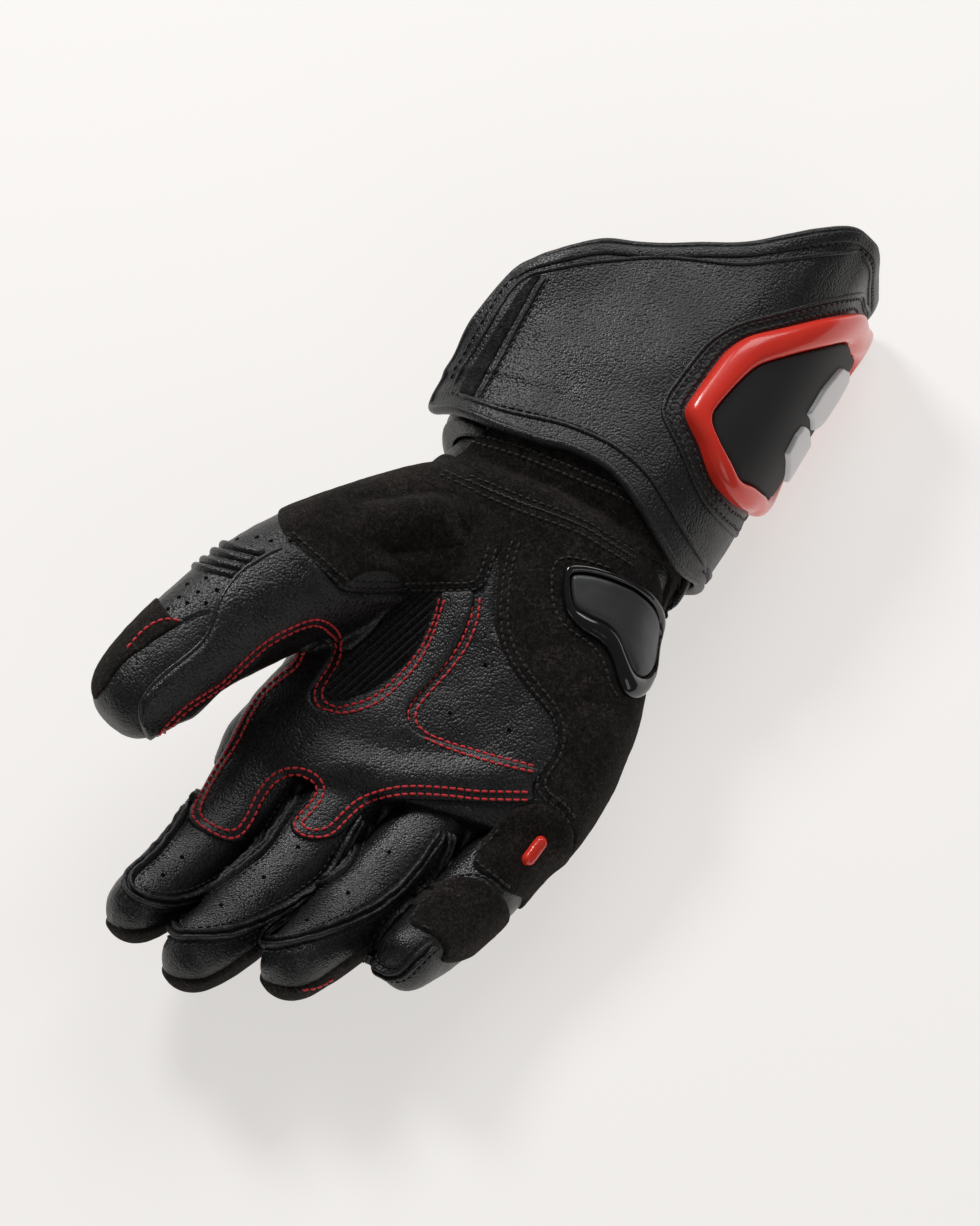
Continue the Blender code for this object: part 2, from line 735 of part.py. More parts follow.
def halves(shell, names, centre, upward, gap, finish):
    """Parts a shell at its side seam into an upper and a lower piece with a gap between them."""
    lower = shell.copy()
    lower.data = shell.data.copy()
    bpy.context.scene.collection.objects.link(lower)
    upward = upward.normalized()
    for half, name, way in ((shell, names[0], upward), (lower, names[1], -upward)):
        boolean(half, box_side("seam_side", centre + way * gap / 2, way, PALM_LENGTH * 3), "INTERSECT")
        keep_largest(half)
        half.name = name
        finish_piece(half, finish)


def make_hand():
    """The palm's and the back's shells, open at the wrist, at each finger and at the thumb."""
    shell = hand_solid(0.0)
    boolean(shell, hand_solid(-LEATHER, -0.002, LEATHER), "DIFFERENCE")
    for finger in FINGERS:
        boolean(shell, finger_solid(finger, -LEATHER, LEATHER, 0.002), "DIFFERENCE")
    boolean(shell, thumb_solid(-LEATHER, LEATHER), "DIFFERENCE")
    first, last = HAND_ROWS[1], HAND_ROWS[-2]
    start = Vector((0, palm_y(first.along), first.height * PALM_DEPTH))
    along_seam = Vector((0, palm_y(last.along), last.height * PALM_DEPTH)) - start
    halves(shell, ("palm_shell", "back_shell"), start, along_seam.cross(Vector((-1, 0, 0))), SEAM_GAP, "leather")


def make_thumb():
    """The thumb's stall, cut to the hand's side."""
    stall = thumb_solid(0.0)
    boolean(stall, thumb_solid(-LEATHER, LEATHER), "DIFFERENCE")
    boolean(stall, hand_solid(SEAM_GAP, -0.01, 0.0), "DIFFERENCE")
    keep_largest(stall)
    start = thumb_centre(THUMB_ROWS[1])
    along_seam = thumb_centre(THUMB_ROWS[-4]) - start
    halves(stall, ("thumb_stall", "thumb_back"), start, along_seam.cross(Vector((-1, 0, 0))), SEAM_GAP, "leather")


def make_tip_pads():
    """A suede cap on each finger's end, cut on a slope so that it runs further on the back."""
    low, high = FINGER_SEAM_GAP, FINGER_SEAM_GAP + OVERLAY_THICKNESS
    for finger in FINGERS[:-1]:
        row, centre, way = finger_centres(finger)[-3]
        up = Vector((0, -math.sin(math.atan2(way.z, -way.y)), -math.cos(math.atan2(way.z, -way.y))))
        cap = finger_solid(finger, high, -high)
        boolean(cap, box_side("tip_side", centre - way * 0.002, way + up * 0.5, PALM_WIDTH), "INTERSECT")
        boolean(cap, finger_solid(finger, low, -low), "DIFFERENCE")
        keep_largest(cap)
        cap.name = finger.name.replace("finger", "tip_pad")
        finish_piece(cap, "suede")


def hand_body(offset):
    return hand_solid(offset)


def thumb_body(offset):
    return thumb_solid(offset)


def little_body(offset):
    return finger_solid(FINGERS[-1], offset, 0.0, 0.006)


def make_patches():
    """The suede, leather and knit that are sewn on the palm, each over the body under it."""
    patch_low, patch_high = SEAM_GAP, SEAM_GAP + PATCH_THICKNESS
    side = PALM_DEPTH * 0.42
    layer_piece(
        "thenar_patch", (hand_body, thumb_body), plan_outline(THENAR_OUTLINE), PALM_DEPTH * 0.86,
        patch_low, patch_high, "suede",
    )
    layer_piece("heel_patch", (hand_body,), plan_outline(HEEL_OUTLINE), side, patch_low, patch_high, "suede")
    layer_piece(
        "palm_overlay", (hand_body,), plan_outline(OVERLAY_OUTLINE), PALM_DEPTH * 0.5,
        patch_low, SEAM_GAP + OVERLAY_THICKNESS, "leather",
    )
    layer_piece(
        "knit_panel", (hand_body,), inset_outline(plan_outline(KNIT_OUTLINE), 0.0006), PALM_DEPTH * 0.5,
        patch_low, SEAM_GAP + KNIT_THICKNESS, "knit",
    )
    layer_piece(
        "little_base_patch", (hand_body, little_body), plan_outline(LITTLE_BASE_OUTLINE), PALM_DEPTH * 0.36,
        patch_low, patch_high, "suede",
    )
    layer_piece(
        "little_tip_patch", (little_body,), plan_outline(LITTLE_TIP_OUTLINE), PALM_DEPTH * 0.40,
        patch_low, patch_high, "suede",
    )


def make_palm_sliders():
    """The gloss ring and matte insert on the heel, and the small red slider by the little finger."""
    seat = SEAM_GAP * 2 + PATCH_THICKNESS
    outer = plan_outline(PALM_SLIDER_OUTLINE)
    inner = inset_outline(outer, PALM_SLIDER_RIM)
    insert = inset_outline(outer, PALM_SLIDER_RIM + SEAM_GAP)
    side = PALM_DEPTH * 0.30
    layer_piece(
        "palm_slider_frame", (hand_body,), outer, side,
        seat, seat + PALM_SLIDER_HEIGHT, "gloss_plastic", hole=inner,
    )
    layer_piece(
        "palm_slider_insert", (hand_body,), insert, side,
        seat, seat + PALM_INSERT_HEIGHT, "grey_plastic",
    )
    x, along = LITTLE_SLIDER_PLACE
    pill = []
    radius = LITTLE_SLIDER_WIDTH / 2
    straight = LITTLE_SLIDER_LENGTH / 2 - radius
    for side_y, start in ((straight, 0), (-straight, math.pi)):
        for k in range(7):
            angle = start + math.pi * k / 6
            pill.append(Vector((
                x * PALM_WIDTH + radius * math.cos(angle),
                palm_y(along) + side_y + radius * math.sin(angle),
            )))
    layer_piece(
        "little_slider", (hand_body, little_body), pill, PALM_DEPTH * 0.36,
        seat, seat + LITTLE_SLIDER_HEIGHT, "red_plastic",
    )


def make_wrist_bands():
    """The suede over the wrist's palm side and the leather strap round its back."""
    grid_piece(
        "wrist_patch", band_point, BAND_ALONGS, side_angles(*WRIST_PATCH_STEPS, HAND_SIDES),
        SEAM_GAP, SEAM_GAP + PATCH_THICKNESS, "suede",
    )
    grid_piece(
        "wrist_strap", band_point, BAND_ALONGS, side_angles(*STRAP_STEPS, HAND_SIDES),
        SEAM_GAP, SEAM_GAP + STRAP_THICKNESS, "leather",
    )


def make_cuff():
    """The gauntlet's sleeve, open at both ends, and the flap that wraps over it."""
    alongs = evenly(CUFF_ROWS[0].along, 1.0, 7)
    grid_piece(
        "cuff_shell", cuff_point, alongs, side_angles(0, CUFF_SIDES - 1, CUFF_SIDES),
        -CUFF_WALL, 0.0, "leather", closed=True,
    )
    flap_alongs = [FLAP_ALONGS[0], *alongs[1:-1], FLAP_ALONGS[1]]
    grid_piece(
        "cuff_flap", flap_point, flap_alongs, side_angles(*FLAP_STEPS, CUFF_SIDES),
        FLAP_GAP, FLAP_GAP + FLAP_THICKNESS, "leather",
    )
    seat = FLAP_GAP + FLAP_THICKNESS + SEAM_GAP
    strip_angles = [360 * step / CUFF_SIDES for step in evenly(*END_STRIP_STEPS, 3)]
    grid_piece(
        "flap_end_strip", flap_point, evenly(*END_STRIP_ALONGS, 6), strip_angles,
        seat, seat + END_STRIP_THICKNESS, "knit",
    )


def make_cuff_slider():
    """The red ring, its black insert and two plain bars on the flap's outer side."""
    seat = FLAP_GAP + FLAP_THICKNESS + SEAM_GAP
    outer = flap_outline(CUFF_SLIDER_OUTLINE)
    inner = inset_outline(outer, SLIDER_RIM)
    insert = inset_outline(outer, SLIDER_RIM + SEAM_GAP)
    outline_ring("cuff_slider_frame", outer, inner, seat, seat + SLIDER_HEIGHT, "red_plastic")
    outline_pad("cuff_slider_insert", insert, seat, seat + SLIDER_INSERT_HEIGHT, "black_plastic")
    bar_seat = seat + SLIDER_INSERT_HEIGHT + SEAM_GAP
    for k, along in enumerate(BAR_PLACES):
        alongs = evenly(along, along + BAR_LENGTH, 3)
        grid_piece(
            f"slider_bar_{k + 1}", flap_point, alongs, evenly(*BAR_DEGREES, 5),
            bar_seat, bar_seat + BAR_HEIGHT, "silver_plastic",
        )


def make_guard():
    """The hard guard under the knuckles that the glove rests on, and its red trim."""
    def outline(width, length, squareness):
        points = []
        for k in range(GUARD_SIDES):
            x, y = superellipse(2 * math.pi * k / GUARD_SIDES, width / 2, length / 2, squareness)
            points.append(Vector((x, y + KNUCKLE_SLANT * x)))
        return points

    levels = (
        (0.0, GUARD_FLAT_SHARE), (GUARD_RISE * 0.12, GUARD_FLAT_SHARE + 0.16),
        (GUARD_RISE * 0.40, 0.92), (GUARD_RISE * 0.70, 1.0), (GUARD_RISE, 0.98),
    )
    rings = []
    for z, share in levels:
        ring = outline(GUARD_WIDTH * (0.35 + 0.65 * share), GUARD_LENGTH * share, 3.2)
        rings.append([Vector((p.x, p.y, z)) for p in ring])
    guard = loft("knuckle_guard", rings)
    boolean(guard, hand_solid(SEAM_GAP), "DIFFERENCE")
    keep_largest(guard)
    guard.name = "knuckle_guard"
    finish_piece(guard, "gloss_plastic")


def main():
    clear_scene()
    make_hand()
    make_fingers()
    make_thumb()
    make_tip_pads()
    make_patches()
    make_palm_sliders()
    make_wrist_bands()
    make_cuff()
    make_cuff_slider()
    make_guard()


main()
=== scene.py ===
"""Looks of the motorcycle glove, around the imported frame.

Metres, in the frame's own axes: +Z up out of the palm, -Y along the fingers, -X towards the thumb.
The base form is lofted finely from the same section tables as the solids. What is sewn on it is traced
in the reference picture's own pixels (980 x 1226) and laid on the form through the camera.
"""
import math
import random
from collections import namedtuple

import bmesh
import bpy
import numpy as np
from mathutils import Matrix, Vector, geometry, noise
from mathutils.bvhtree import BVHTree
from mathutils.kdtree import KDTree


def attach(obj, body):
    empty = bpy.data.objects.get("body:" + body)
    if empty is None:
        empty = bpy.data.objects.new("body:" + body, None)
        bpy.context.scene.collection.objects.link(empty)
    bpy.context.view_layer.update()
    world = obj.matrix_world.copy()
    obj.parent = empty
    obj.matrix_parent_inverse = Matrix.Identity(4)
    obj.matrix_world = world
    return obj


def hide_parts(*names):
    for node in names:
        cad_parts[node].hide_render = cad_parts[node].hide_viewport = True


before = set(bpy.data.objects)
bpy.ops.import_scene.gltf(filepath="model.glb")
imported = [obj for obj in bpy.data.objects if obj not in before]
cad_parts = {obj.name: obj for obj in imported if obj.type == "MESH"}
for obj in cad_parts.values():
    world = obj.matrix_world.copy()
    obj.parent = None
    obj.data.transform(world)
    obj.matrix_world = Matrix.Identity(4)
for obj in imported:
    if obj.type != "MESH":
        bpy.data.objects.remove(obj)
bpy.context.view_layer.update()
RANDOM = random.Random(7)
MM = 0.001

# Camera, solved from the picture
PICTURE = (980, 1226)
LENS_MM = 100.0
SENSOR_MM = 36.0
CAMERA_AZIMUTH = math.radians(40)
CAMERA_ELEVATION = math.radians(62)
CAMERA_DISTANCE = 1.0
CAMERA_TARGET = Vector((-0.012, 0.044, 0.045))
FOCAL_PX = PICTURE[1] * LENS_MM / SENSOR_MM

BACK = Vector((
    math.sin(CAMERA_AZIMUTH) * math.cos(CAMERA_ELEVATION),
    -math.cos(CAMERA_AZIMUTH) * math.cos(CAMERA_ELEVATION),
    math.sin(CAMERA_ELEVATION),
))
RIGHT = Vector((math.cos(CAMERA_AZIMUTH), math.sin(CAMERA_AZIMUTH), 0))
UPWARD = BACK.cross(RIGHT)
EYE = CAMERA_TARGET + BACK * CAMERA_DISTANCE

# Driving sizes, as in the solids
PALM_LENGTH = 0.102
PALM_WIDTH = 0.105
PALM_DEPTH = 0.050
WRIST_WIDTH = 0.080
KNUCKLE_DEPTH = 0.037
FINGER_DEPTH = 0.0270
FINGER_GAP = 0.0010
KNUCKLE_SPAN = 0.0930
INDEX_LENGTH = 0.083
MIDDLE_LENGTH = 0.085
RING_LENGTH = 0.073
LITTLE_LENGTH = 0.056
THUMB_LENGTH = 0.125
THUMB_WIDTH = 0.042
CUFF_LENGTH = 0.0886
CUFF_WALL = 0.0024
CUFF_CLEARANCE = 0.0012
MOUTH_WIDTH = 0.0765
MOUTH_DEPTH = 0.067
WRIST_CUFF_DEPTH = 0.0575
WRIST_LIFT = 0.0043
FLAP_THICKNESS = 0.0028
FLAP_GAP = 0.0007
FLAP_LIFT = 0.0060
GUARD_ALONG = 0.88
KNUCKLE_SLANT = 0.42

HandRow = namedtuple("HandRow", "along across height half_width half_depth squareness slant")
FingerRow = namedtuple("FingerRow", "along pitch half_width half_depth squareness")
ThumbRow = namedtuple("ThumbRow", "outward forward upward half_width half_depth squareness")
CuffRow = namedtuple("CuffRow", "along sideways flare squareness slant tilt")
Finger = namedtuple("Finger", "name root length lean curl girth")

HAND_ROWS = (
    HandRow(-0.118, -0.195, 0.665, 0.372, 0.495, 2.3, 0.00),
    HandRow(0.000, -0.190, 0.660, 0.381, 0.500, 2.3, 0.00),
    HandRow(0.157, -0.171, 0.640, 0.410, 0.500, 2.3, 0.00),
    HandRow(0.402, -0.100, 0.605, 0.472, 0.480, 2.4, 0.05),
    HandRow(0.627, -0.055, 0.565, 0.488, 0.425, 2.6, 0.12),
    HandRow(0.843, -0.019, 0.520, 0.482, 0.368, 2.8, 0.24),
    HandRow(1.000, 0.000, 0.485, 0.466, 0.320, 3.0, 0.36),
    HandRow(1.064, 0.006, 0.478, 0.448, 0.286, 3.0, KNUCKLE_SLANT),
)
FINGER_ROWS = (
    FingerRow(-0.12, 0, 0.500, 0.500, 2.6),
    FingerRow(0.00, 0, 0.500, 0.510, 2.6),
    FingerRow(0.24, 1, 0.500, 0.505, 2.5),
    FingerRow(0.38, 8, 0.498, 0.480, 2.4),
    FingerRow(0.56, 15, 0.482, 0.460, 2.3),
    FingerRow(0.76, 24, 0.445, 0.440, 2.2),
    FingerRow(0.90, 29, 0.398, 0.385, 2.1),
    FingerRow(0.97, 31, 0.300, 0.285, 2.0),
    FingerRow(1.00, 32, 0.120, 0.110, 2.0),
)
FINGERS = (
    Finger("index_finger", 1.04, INDEX_LENGTH, 2.8, 0.92, 1.00),
    Finger("middle_finger", 1.04, MIDDLE_LENGTH, 2.0, 1.02, 1.00),
    Finger("ring_finger", 0.99, RING_LENGTH, 1.0, 1.08, 0.98),
    Finger("little_finger", 0.91, LITTLE_LENGTH, 0.2, 1.00, 0.94),
)
FINGER_ROOT_HEIGHT = 0.455
THUMB_ROWS = (
    ThumbRow(-0.070, -0.090, -0.040, 0.330, 0.330, 2.2),
    ThumbRow(-0.010, 0.000, 0.000, 0.430, 0.440, 2.2),
    ThumbRow(0.046, 0.144, 0.048, 0.480, 0.470, 2.2),
    ThumbRow(0.112, 0.320, 0.100, 0.470, 0.460, 2.2),
    ThumbRow(0.162, 0.480, 0.136, 0.448, 0.440, 2.2),
    ThumbRow(0.190, 0.640, 0.152, 0.408, 0.405, 2.2),
    ThumbRow(0.206, 0.800, 0.154, 0.369, 0.357, 2.2),
    ThumbRow(0.208, 0.900, 0.154, 0.310, 0.298, 2.1),
    ThumbRow(0.208, 0.950, 0.154, 0.215, 0.205, 2.0),
    ThumbRow(0.208, 0.968, 0.154, 0.110, 0.105, 2.0),
)
THUMB_ROOT_ACROSS = -0.400
THUMB_ROOT_ALONG = 0.255
THUMB_ROOT_HEIGHT = 0.760
CUFF_ROWS = (
    CuffRow(-0.02, 0.000, 0.00, 2.3, 0.04, 0.00),
    CuffRow(0.10, -0.030, 0.10, 2.4, 0.15, -0.01),
    CuffRow(0.25, -0.070, 0.25, 2.6, 0.29, -0.04),
    CuffRow(0.60, -0.165, 0.60, 3.1, 0.63, -0.11),
    CuffRow(1.00, -0.267, 1.00, 3.6, 1.02, -0.19),
)
CUFF_CENTRE_ACROSS = -0.190


# Pixels and rays

def project(point):
    """Where a point is seen in the picture."""
    ray = point - EYE
    depth = -ray.dot(BACK)
    return Vector((
        PICTURE[0] / 2 + FOCAL_PX * ray.dot(RIGHT) / depth,
        PICTURE[1] / 2 - FOCAL_PX * ray.dot(UPWARD) / depth,
    ))


def pixel_ray(pixel):
    across = (pixel[0] - PICTURE[0] / 2) / FOCAL_PX
    down = (pixel[1] - PICTURE[1] / 2) / FOCAL_PX
    return (RIGHT * across - UPWARD * down - BACK).normalized()


def project_all(points):
    """Pixels of an array of points."""
    rays = points - np.array(EYE)
    depth = -(rays @ np.array(BACK))
    across = PICTURE[0] / 2 + FOCAL_PX * (rays @ np.array(RIGHT)) / depth
    down = PICTURE[1] / 2 - FOCAL_PX * (rays @ np.array(UPWARD)) / depth
    return np.stack([across, down], 1)


# Curves and tables

def spline_value(before, start, end, after, share):
    """Catmull-Rom value between start and end."""
    return 0.5 * (
        2 * start
        + (end - before) * share
        + (2 * before - 5 * start + 4 * end - after) * share**2
        + (3 * start - before - 3 * end + after) * share**3
    )


def between_rows(rows, place):
    first = min(int(place), len(rows) - 2)
    share = place - first
    around = [rows[min(max(first + k, 0), len(rows) - 1)] for k in (-1, 0, 1, 2)]
    return type(rows[0])(*(spline_value(*column, share) for column in zip(*around)))


def denser(rows, steps):
    last = len(rows) - 1
    return [between_rows(rows, k / steps) for k in range(last * steps + 1)]


def row_at(rows, along):
    for k in range(len(rows) - 2):
        if along <= rows[k + 1].along:
            break
    else:
        k = len(rows) - 2
    return between_rows(rows, k + (along - rows[k].along) / (rows[k + 1].along - rows[k].along))


def curve_points(points, step, closed=False):
    """A smooth curve through the points, in pieces of about step."""
    points = [Vector(p) for p in points]
    count = len(points)
    curve = []
    for k in range(count if closed else count - 1):
        if closed:
            around = [points[(k + j) % count] for j in (-1, 0, 1, 2)]
        else:
            around = [points[min(max(k + j, 0), count - 1)] for j in (-1, 0, 1, 2)]
        pieces = max(1, round((around[2] - around[1]).length / step))
        for j in range(pieces):
            curve.append(Vector([spline_value(*values, j / pieces) for values in zip(*around)]))
    return curve if closed else curve + [points[-1]]


def even_points(points, step, closed=False):
    """The polyline resampled at an even spacing of about step."""
    if closed:
        points = list(points) + [points[0]]
    lengths = [0.0]
    for first, second in zip(points, points[1:]):
        lengths.append(lengths[-1] + (second - first).length)
    count = max(2, round(lengths[-1] / step))
    sampled = []
    k = 0
    for j in range(count if closed else count + 1):
        want = lengths[-1] * j / count
        while k < len(points) - 2 and lengths[k + 1] < want:
            k += 1
        span = max(lengths[k + 1] - lengths[k], 1e-12)
        sampled.append(points[k].lerp(points[k + 1], (want - lengths[k]) / span))
    return sampled


def round_loop(points, step, curve_step=1.0):
    """A smooth closed loop through the points, at an even spacing."""
    return even_points(curve_points(points, curve_step, closed=True), step, closed=True)


def superellipse(angle, half_width, half_depth, squareness):
    c, s = math.cos(angle), math.sin(angle)
    x = math.copysign(abs(c) ** (2 / squareness), c) * half_width
    y = math.copysign(abs(s) ** (2 / squareness), s) * half_depth
    return x, y


def smooth_step(value, start, end):
    share = min(max((value - start) / (end - start), 0.0), 1.0)
    return share * share * (3 - 2 * share)


# Meshes

def new_object(name, vertices, faces, material=None):
    mesh = bpy.data.meshes.new(name)
    mesh.from_pydata([tuple(v) for v in vertices], [], faces)
    mesh.validate()
    mesh.shade_smooth()
    obj = bpy.data.objects.new(name, mesh)
    bpy.context.scene.collection.objects.link(obj)
    if material:
        mesh.materials.append(material)
    return obj


def grid_faces(rows, columns, first=0, closed=False, round_rows=False):
    """Quads of a grid of points: closed joins its last column to the first, round_rows its last row."""
    faces = []
    for i in range(rows if round_rows else rows - 1):
        a, b = first + i * columns, first + (i + 1) % rows * columns
        for j in range(columns if closed else columns - 1):
            k = (j + 1) % columns
            faces.append((a + j, a + k, b + k, b + j))
    return faces


def end_caps(rows, columns, first=0):
    """The two ends of a closed grid as one face each."""
    last = first + (rows - 1) * columns
    return [tuple(first + k for k in range(columns))[::-1], tuple(last + k for k in range(columns))]


def apply_modifiers(obj):
    bpy.context.view_layer.update()
    graph = bpy.context.evaluated_depsgraph_get()
    mesh = bpy.data.meshes.new_from_object(obj.evaluated_get(graph))
    obj.modifiers.clear()
    obj.data = mesh
    return obj


def face_out(obj):
    """Turns the faces of a closed mesh outwards."""
    work = bmesh.new()
    work.from_mesh(obj.data)
    bmesh.ops.recalc_face_normals(work, faces=work.faces)
    work.to_mesh(obj.data)
    work.free()
    return obj


def turned_up(obj, outward):
    """Flips an open mesh that looks against outward(polygon), a direction for each of its faces."""
    if sum(polygon.normal.dot(outward(polygon)) for polygon in obj.data.polygons) < 0:
        obj.data.flip_normals()
    return obj


def near_tree(points):
    """A tree that finds the nearest of some points of a plane or of space."""
    tree = KDTree(len(points))
    for k, point in enumerate(points):
        tree.insert((*point, 0)[:3], k)
    tree.balance()
    return tree


def piece(obj, slot, *nodes):
    """Lets a finished piece ride on the glove and stand for CAD nodes. The slot argument is not used."""
    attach(obj, "root")
    if nodes:
        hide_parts(*nodes)
    return obj


def mesh_values(obj, key):
    flat = np.empty(len(obj.data.vertices) * 3)
    obj.data.vertices.foreach_get(key, flat)
    return flat.reshape(-1, 3)


def coordinates(obj):
    return mesh_values(obj, "co")


def vertex_normals(obj):
    return mesh_values(obj, "normal")


def set_coordinates(obj, points):
    obj.data.vertices.foreach_set("co", np.ascontiguousarray(points, dtype=np.float32).ravel())
    obj.data.update()


class Surface:
    """A finished form to lay pieces on: rays and nearest points give a place and a smooth normal."""

    def __init__(self, obj):
        self.points = coordinates(obj)
        self.normals = vertex_normals(obj)
        self.polygons = [tuple(p.vertices) for p in obj.data.polygons]
        self.tree = BVHTree.FromPolygons([Vector(p) for p in self.points], self.polygons)

    def normal_at(self, place, face):
        corners = self.polygons[face]
        total = Vector((0, 0, 0))
        for corner in corners:
            weight = 1 / ((place - Vector(self.points[corner])).length + 1e-5)
            total += Vector(self.normals[corner]) * weight
        return total.normalized()

    def seen(self, pixel):
        """The place and normal that a pixel shows, or the nearest where the pixel misses the form."""
        ray = pixel_ray(pixel)
        place, _, face, _ = self.tree.ray_cast(EYE, ray)
        if place is None:
            distance = (CAMERA_TARGET - EYE).length
            for _ in range(6):
                probe = EYE + ray * distance
                place, _, face, _ = self.tree.find_nearest(probe)
                distance = (place - EYE).dot(ray)
        return place, self.normal_at(place, face)

    def nearest(self, point):
        place, _, face, _ = self.tree.find_nearest(point)
        return place, self.normal_at(place, face)


# Materials

class Look:
    """A Principled material whose colour, roughness and bump come from procedural nodes."""

    def __init__(self, name, roughness=0.5, **sockets):
        self.material = bpy.data.materials.new(name)
        self.material.use_nodes = True
        self.tree = self.material.node_tree
        self.shader = self.tree.nodes["Principled BSDF"]
        self.coordinates = self.tree.nodes.new("ShaderNodeTexCoord")
        self.bump = None
        for key, value in {"Roughness": roughness, **sockets}.items():
            self.shader.inputs[key.replace("_", " ")].default_value = value

    def node(self, kind, **inputs):
        made = self.tree.nodes.new("ShaderNode" + kind)
        for key, value in inputs.items():
            made.inputs[key.replace("_", " ")].default_value = value
        return made

    def feed(self, socket, value):
        """Links a node's output to a socket, or sets the socket to a number or a colour."""
        if hasattr(value, "links"):
            self.tree.links.new(value, socket)
        else:
            socket.default_value = value if isinstance(value, float) else (*value, 1)

    def noise(self, scale, detail=4.0, roughness=0.55, distortion=0.0, output="Fac"):
        made = self.node("TexNoise", Scale=scale, Detail=detail, Roughness=roughness, Distortion=distortion)
        self.feed(made.inputs["Vector"], self.coordinates.outputs["Object"])
        return made.outputs[output]

    def warped(self, scale, amount):
        """Coordinates pushed about by a noise, in metres, so that cells lose their even look."""
        push = self.node("VectorMath")
        push.operation = "SCALE"
        push.inputs["Scale"].default_value = amount
        self.feed(push.inputs[0], self.noise(scale, 2.0, 0.5, output="Color"))
        moved = self.node("VectorMath")
        self.feed(moved.inputs[0], self.coordinates.outputs["Object"])
        self.feed(moved.inputs[1], push.outputs[0])
        return moved.outputs[0]

    def cells(self, scale, smoothness=0.16, warp=0.00035):
        """Rounded pebbles: high in the middle of each cell, low along its border."""
        made = self.node("TexVoronoi", Scale=scale)
        made.feature = "SMOOTH_F1"
        made.inputs["Smoothness"].default_value = smoothness
        self.feed(made.inputs["Vector"], self.warped(scale * 0.7, warp))
        distance = made.outputs["Distance"]
        return self.maths("SUBTRACT", 1.0, self.maths("MULTIPLY", distance, distance))

    def ramp(self, value, stops):
        made = self.node("ValToRGB")
        elements = made.color_ramp.elements
        while len(elements) < len(stops):
            elements.new(0.5)
        for element, (position, colour) in zip(elements, stops):
            element.position = position
            element.color = (colour, colour, colour, 1) if isinstance(colour, float) else (*colour, 1)
        self.feed(made.inputs["Fac"], value)
        return made.outputs["Color"]

    def mix(self, factor, first, second, kind="MIX"):
        made = self.node("Mix")
        made.data_type, made.blend_type = "RGBA", kind
        for socket, value in ((0, factor), (6, first), (7, second)):
            self.feed(made.inputs[socket], value)
        return made.outputs[2]

    def maths(self, kind, first, second):
        made = self.node("Math")
        made.operation = kind
        self.feed(made.inputs[0], first)
        self.feed(made.inputs[1], second)
        return made.outputs[0]

    def colour(self, value):
        self.feed(self.shader.inputs["Base Color"], value)

    def rough(self, value):
        self.feed(self.shader.inputs["Roughness"], value)

    def raise_by(self, height, distance, strength=1.0):
        """Adds a bump of the given height in metres on top of those before it."""
        made = self.node("Bump", Strength=strength, Distance=distance)
        self.feed(made.inputs["Height"], height)
        if self.bump:
            self.feed(made.inputs["Normal"], self.bump.outputs["Normal"])
        self.bump = made
        self.feed(self.shader.inputs["Normal"], made.outputs["Normal"])


def convex_edge_share(look, low, high):
    """A share that rises where the form is convex, for lighter edges: rubbed wear, and on leather also a
    painted highlight.
    """
    return look.ramp(look.node("NewGeometry").outputs["Pointiness"], ((low, 0.0), (high, 1.0)))


def shade(tint, factor, lift=0.0):
    return tuple(min(c * factor + lift, 1) for c in tint)


def make_leather(name, tint, shine, grain, size):
    """Milled black leather: small pebbles with fine creases between, the creases painted darker as shade, soft
    shine, and convex edges lightened as rubbed wear and painted highlight.
    """
    look = Look(name, shine, Specular_IOR_Level=0.55)
    base = look.ramp(look.noise(38, 5, 0.6), ((0.30, shade(tint, 0.75)), (0.72, shade(tint, 1.25))))
    pebbles = look.cells(size)
    # Painted shade: the colour darkens from the pebble tops into the creases between them, for the light and
    # shade of the grain.
    base = look.mix(1.0, base, look.ramp(pebbles, ((0.62, 0.12), (0.90, 1.25))), "MULTIPLY")
    # Convex edges painted lighter: partly rubbed wear, partly a painted highlight along raised edges.
    lighter_edges = look.maths("MULTIPLY", convex_edge_share(look, 0.51, 0.62), look.noise(160, 3, 0.6))
    look.colour(look.mix(lighter_edges, base, shade(tint, 2.4)))
    look.rough(look.ramp(look.noise(70, 4, 0.6), ((0.30, shine - 0.06), (0.70, shine + 0.08))))
    look.raise_by(look.noise(130, 4, 0.55), 0.00018, 0.35 * grain)
    look.raise_by(pebbles, 0.00024, grain)
    return look.material


def make_suede(name, tint, sheen=0.10):
    """Brushed black suede: short fibres that catch light and shade, in soft clouds, no gloss."""
    look = Look(name, 0.96, Sheen_Weight=sheen, Sheen_Roughness=0.55, Specular_IOR_Level=0.12)
    look.shader.inputs["Sheen Tint"].default_value = (0.62, 0.56, 0.52, 1)
    clouds = look.noise(60, 6, 0.7, 0.4)
    fibres = look.noise(640, 7, 0.82, 1.5)
    fine = look.ramp(fibres, ((0.38, shade(tint, 0.10)), (0.50, tint), (0.63, shade(tint, 4.5))))
    look.colour(look.mix(1.0, fine, look.ramp(clouds, ((0.34, 0.50), (0.66, 1.60))), "MULTIPLY"))
    look.raise_by(look.noise(260, 5, 0.70, 0.5), 0.00090, 0.8)
    look.raise_by(fibres, 0.00070)
    return look.material


def make_knit(name, tint):
    """Black stretch knit: small loops with fine fibres."""
    look = Look(name, 0.90, Sheen_Weight=0.12, Sheen_Roughness=0.5, Specular_IOR_Level=0.2)
    loops = look.cells(1500, 0.2, 0.0002)
    look.colour(look.ramp(loops, ((0.60, shade(tint, 0.3)), (0.95, shade(tint, 1.8)))))
    look.raise_by(loops, 0.00022, 0.8)
    look.raise_by(look.noise(3200, 2, 0.6), 0.00008, 0.5)
    return look.material


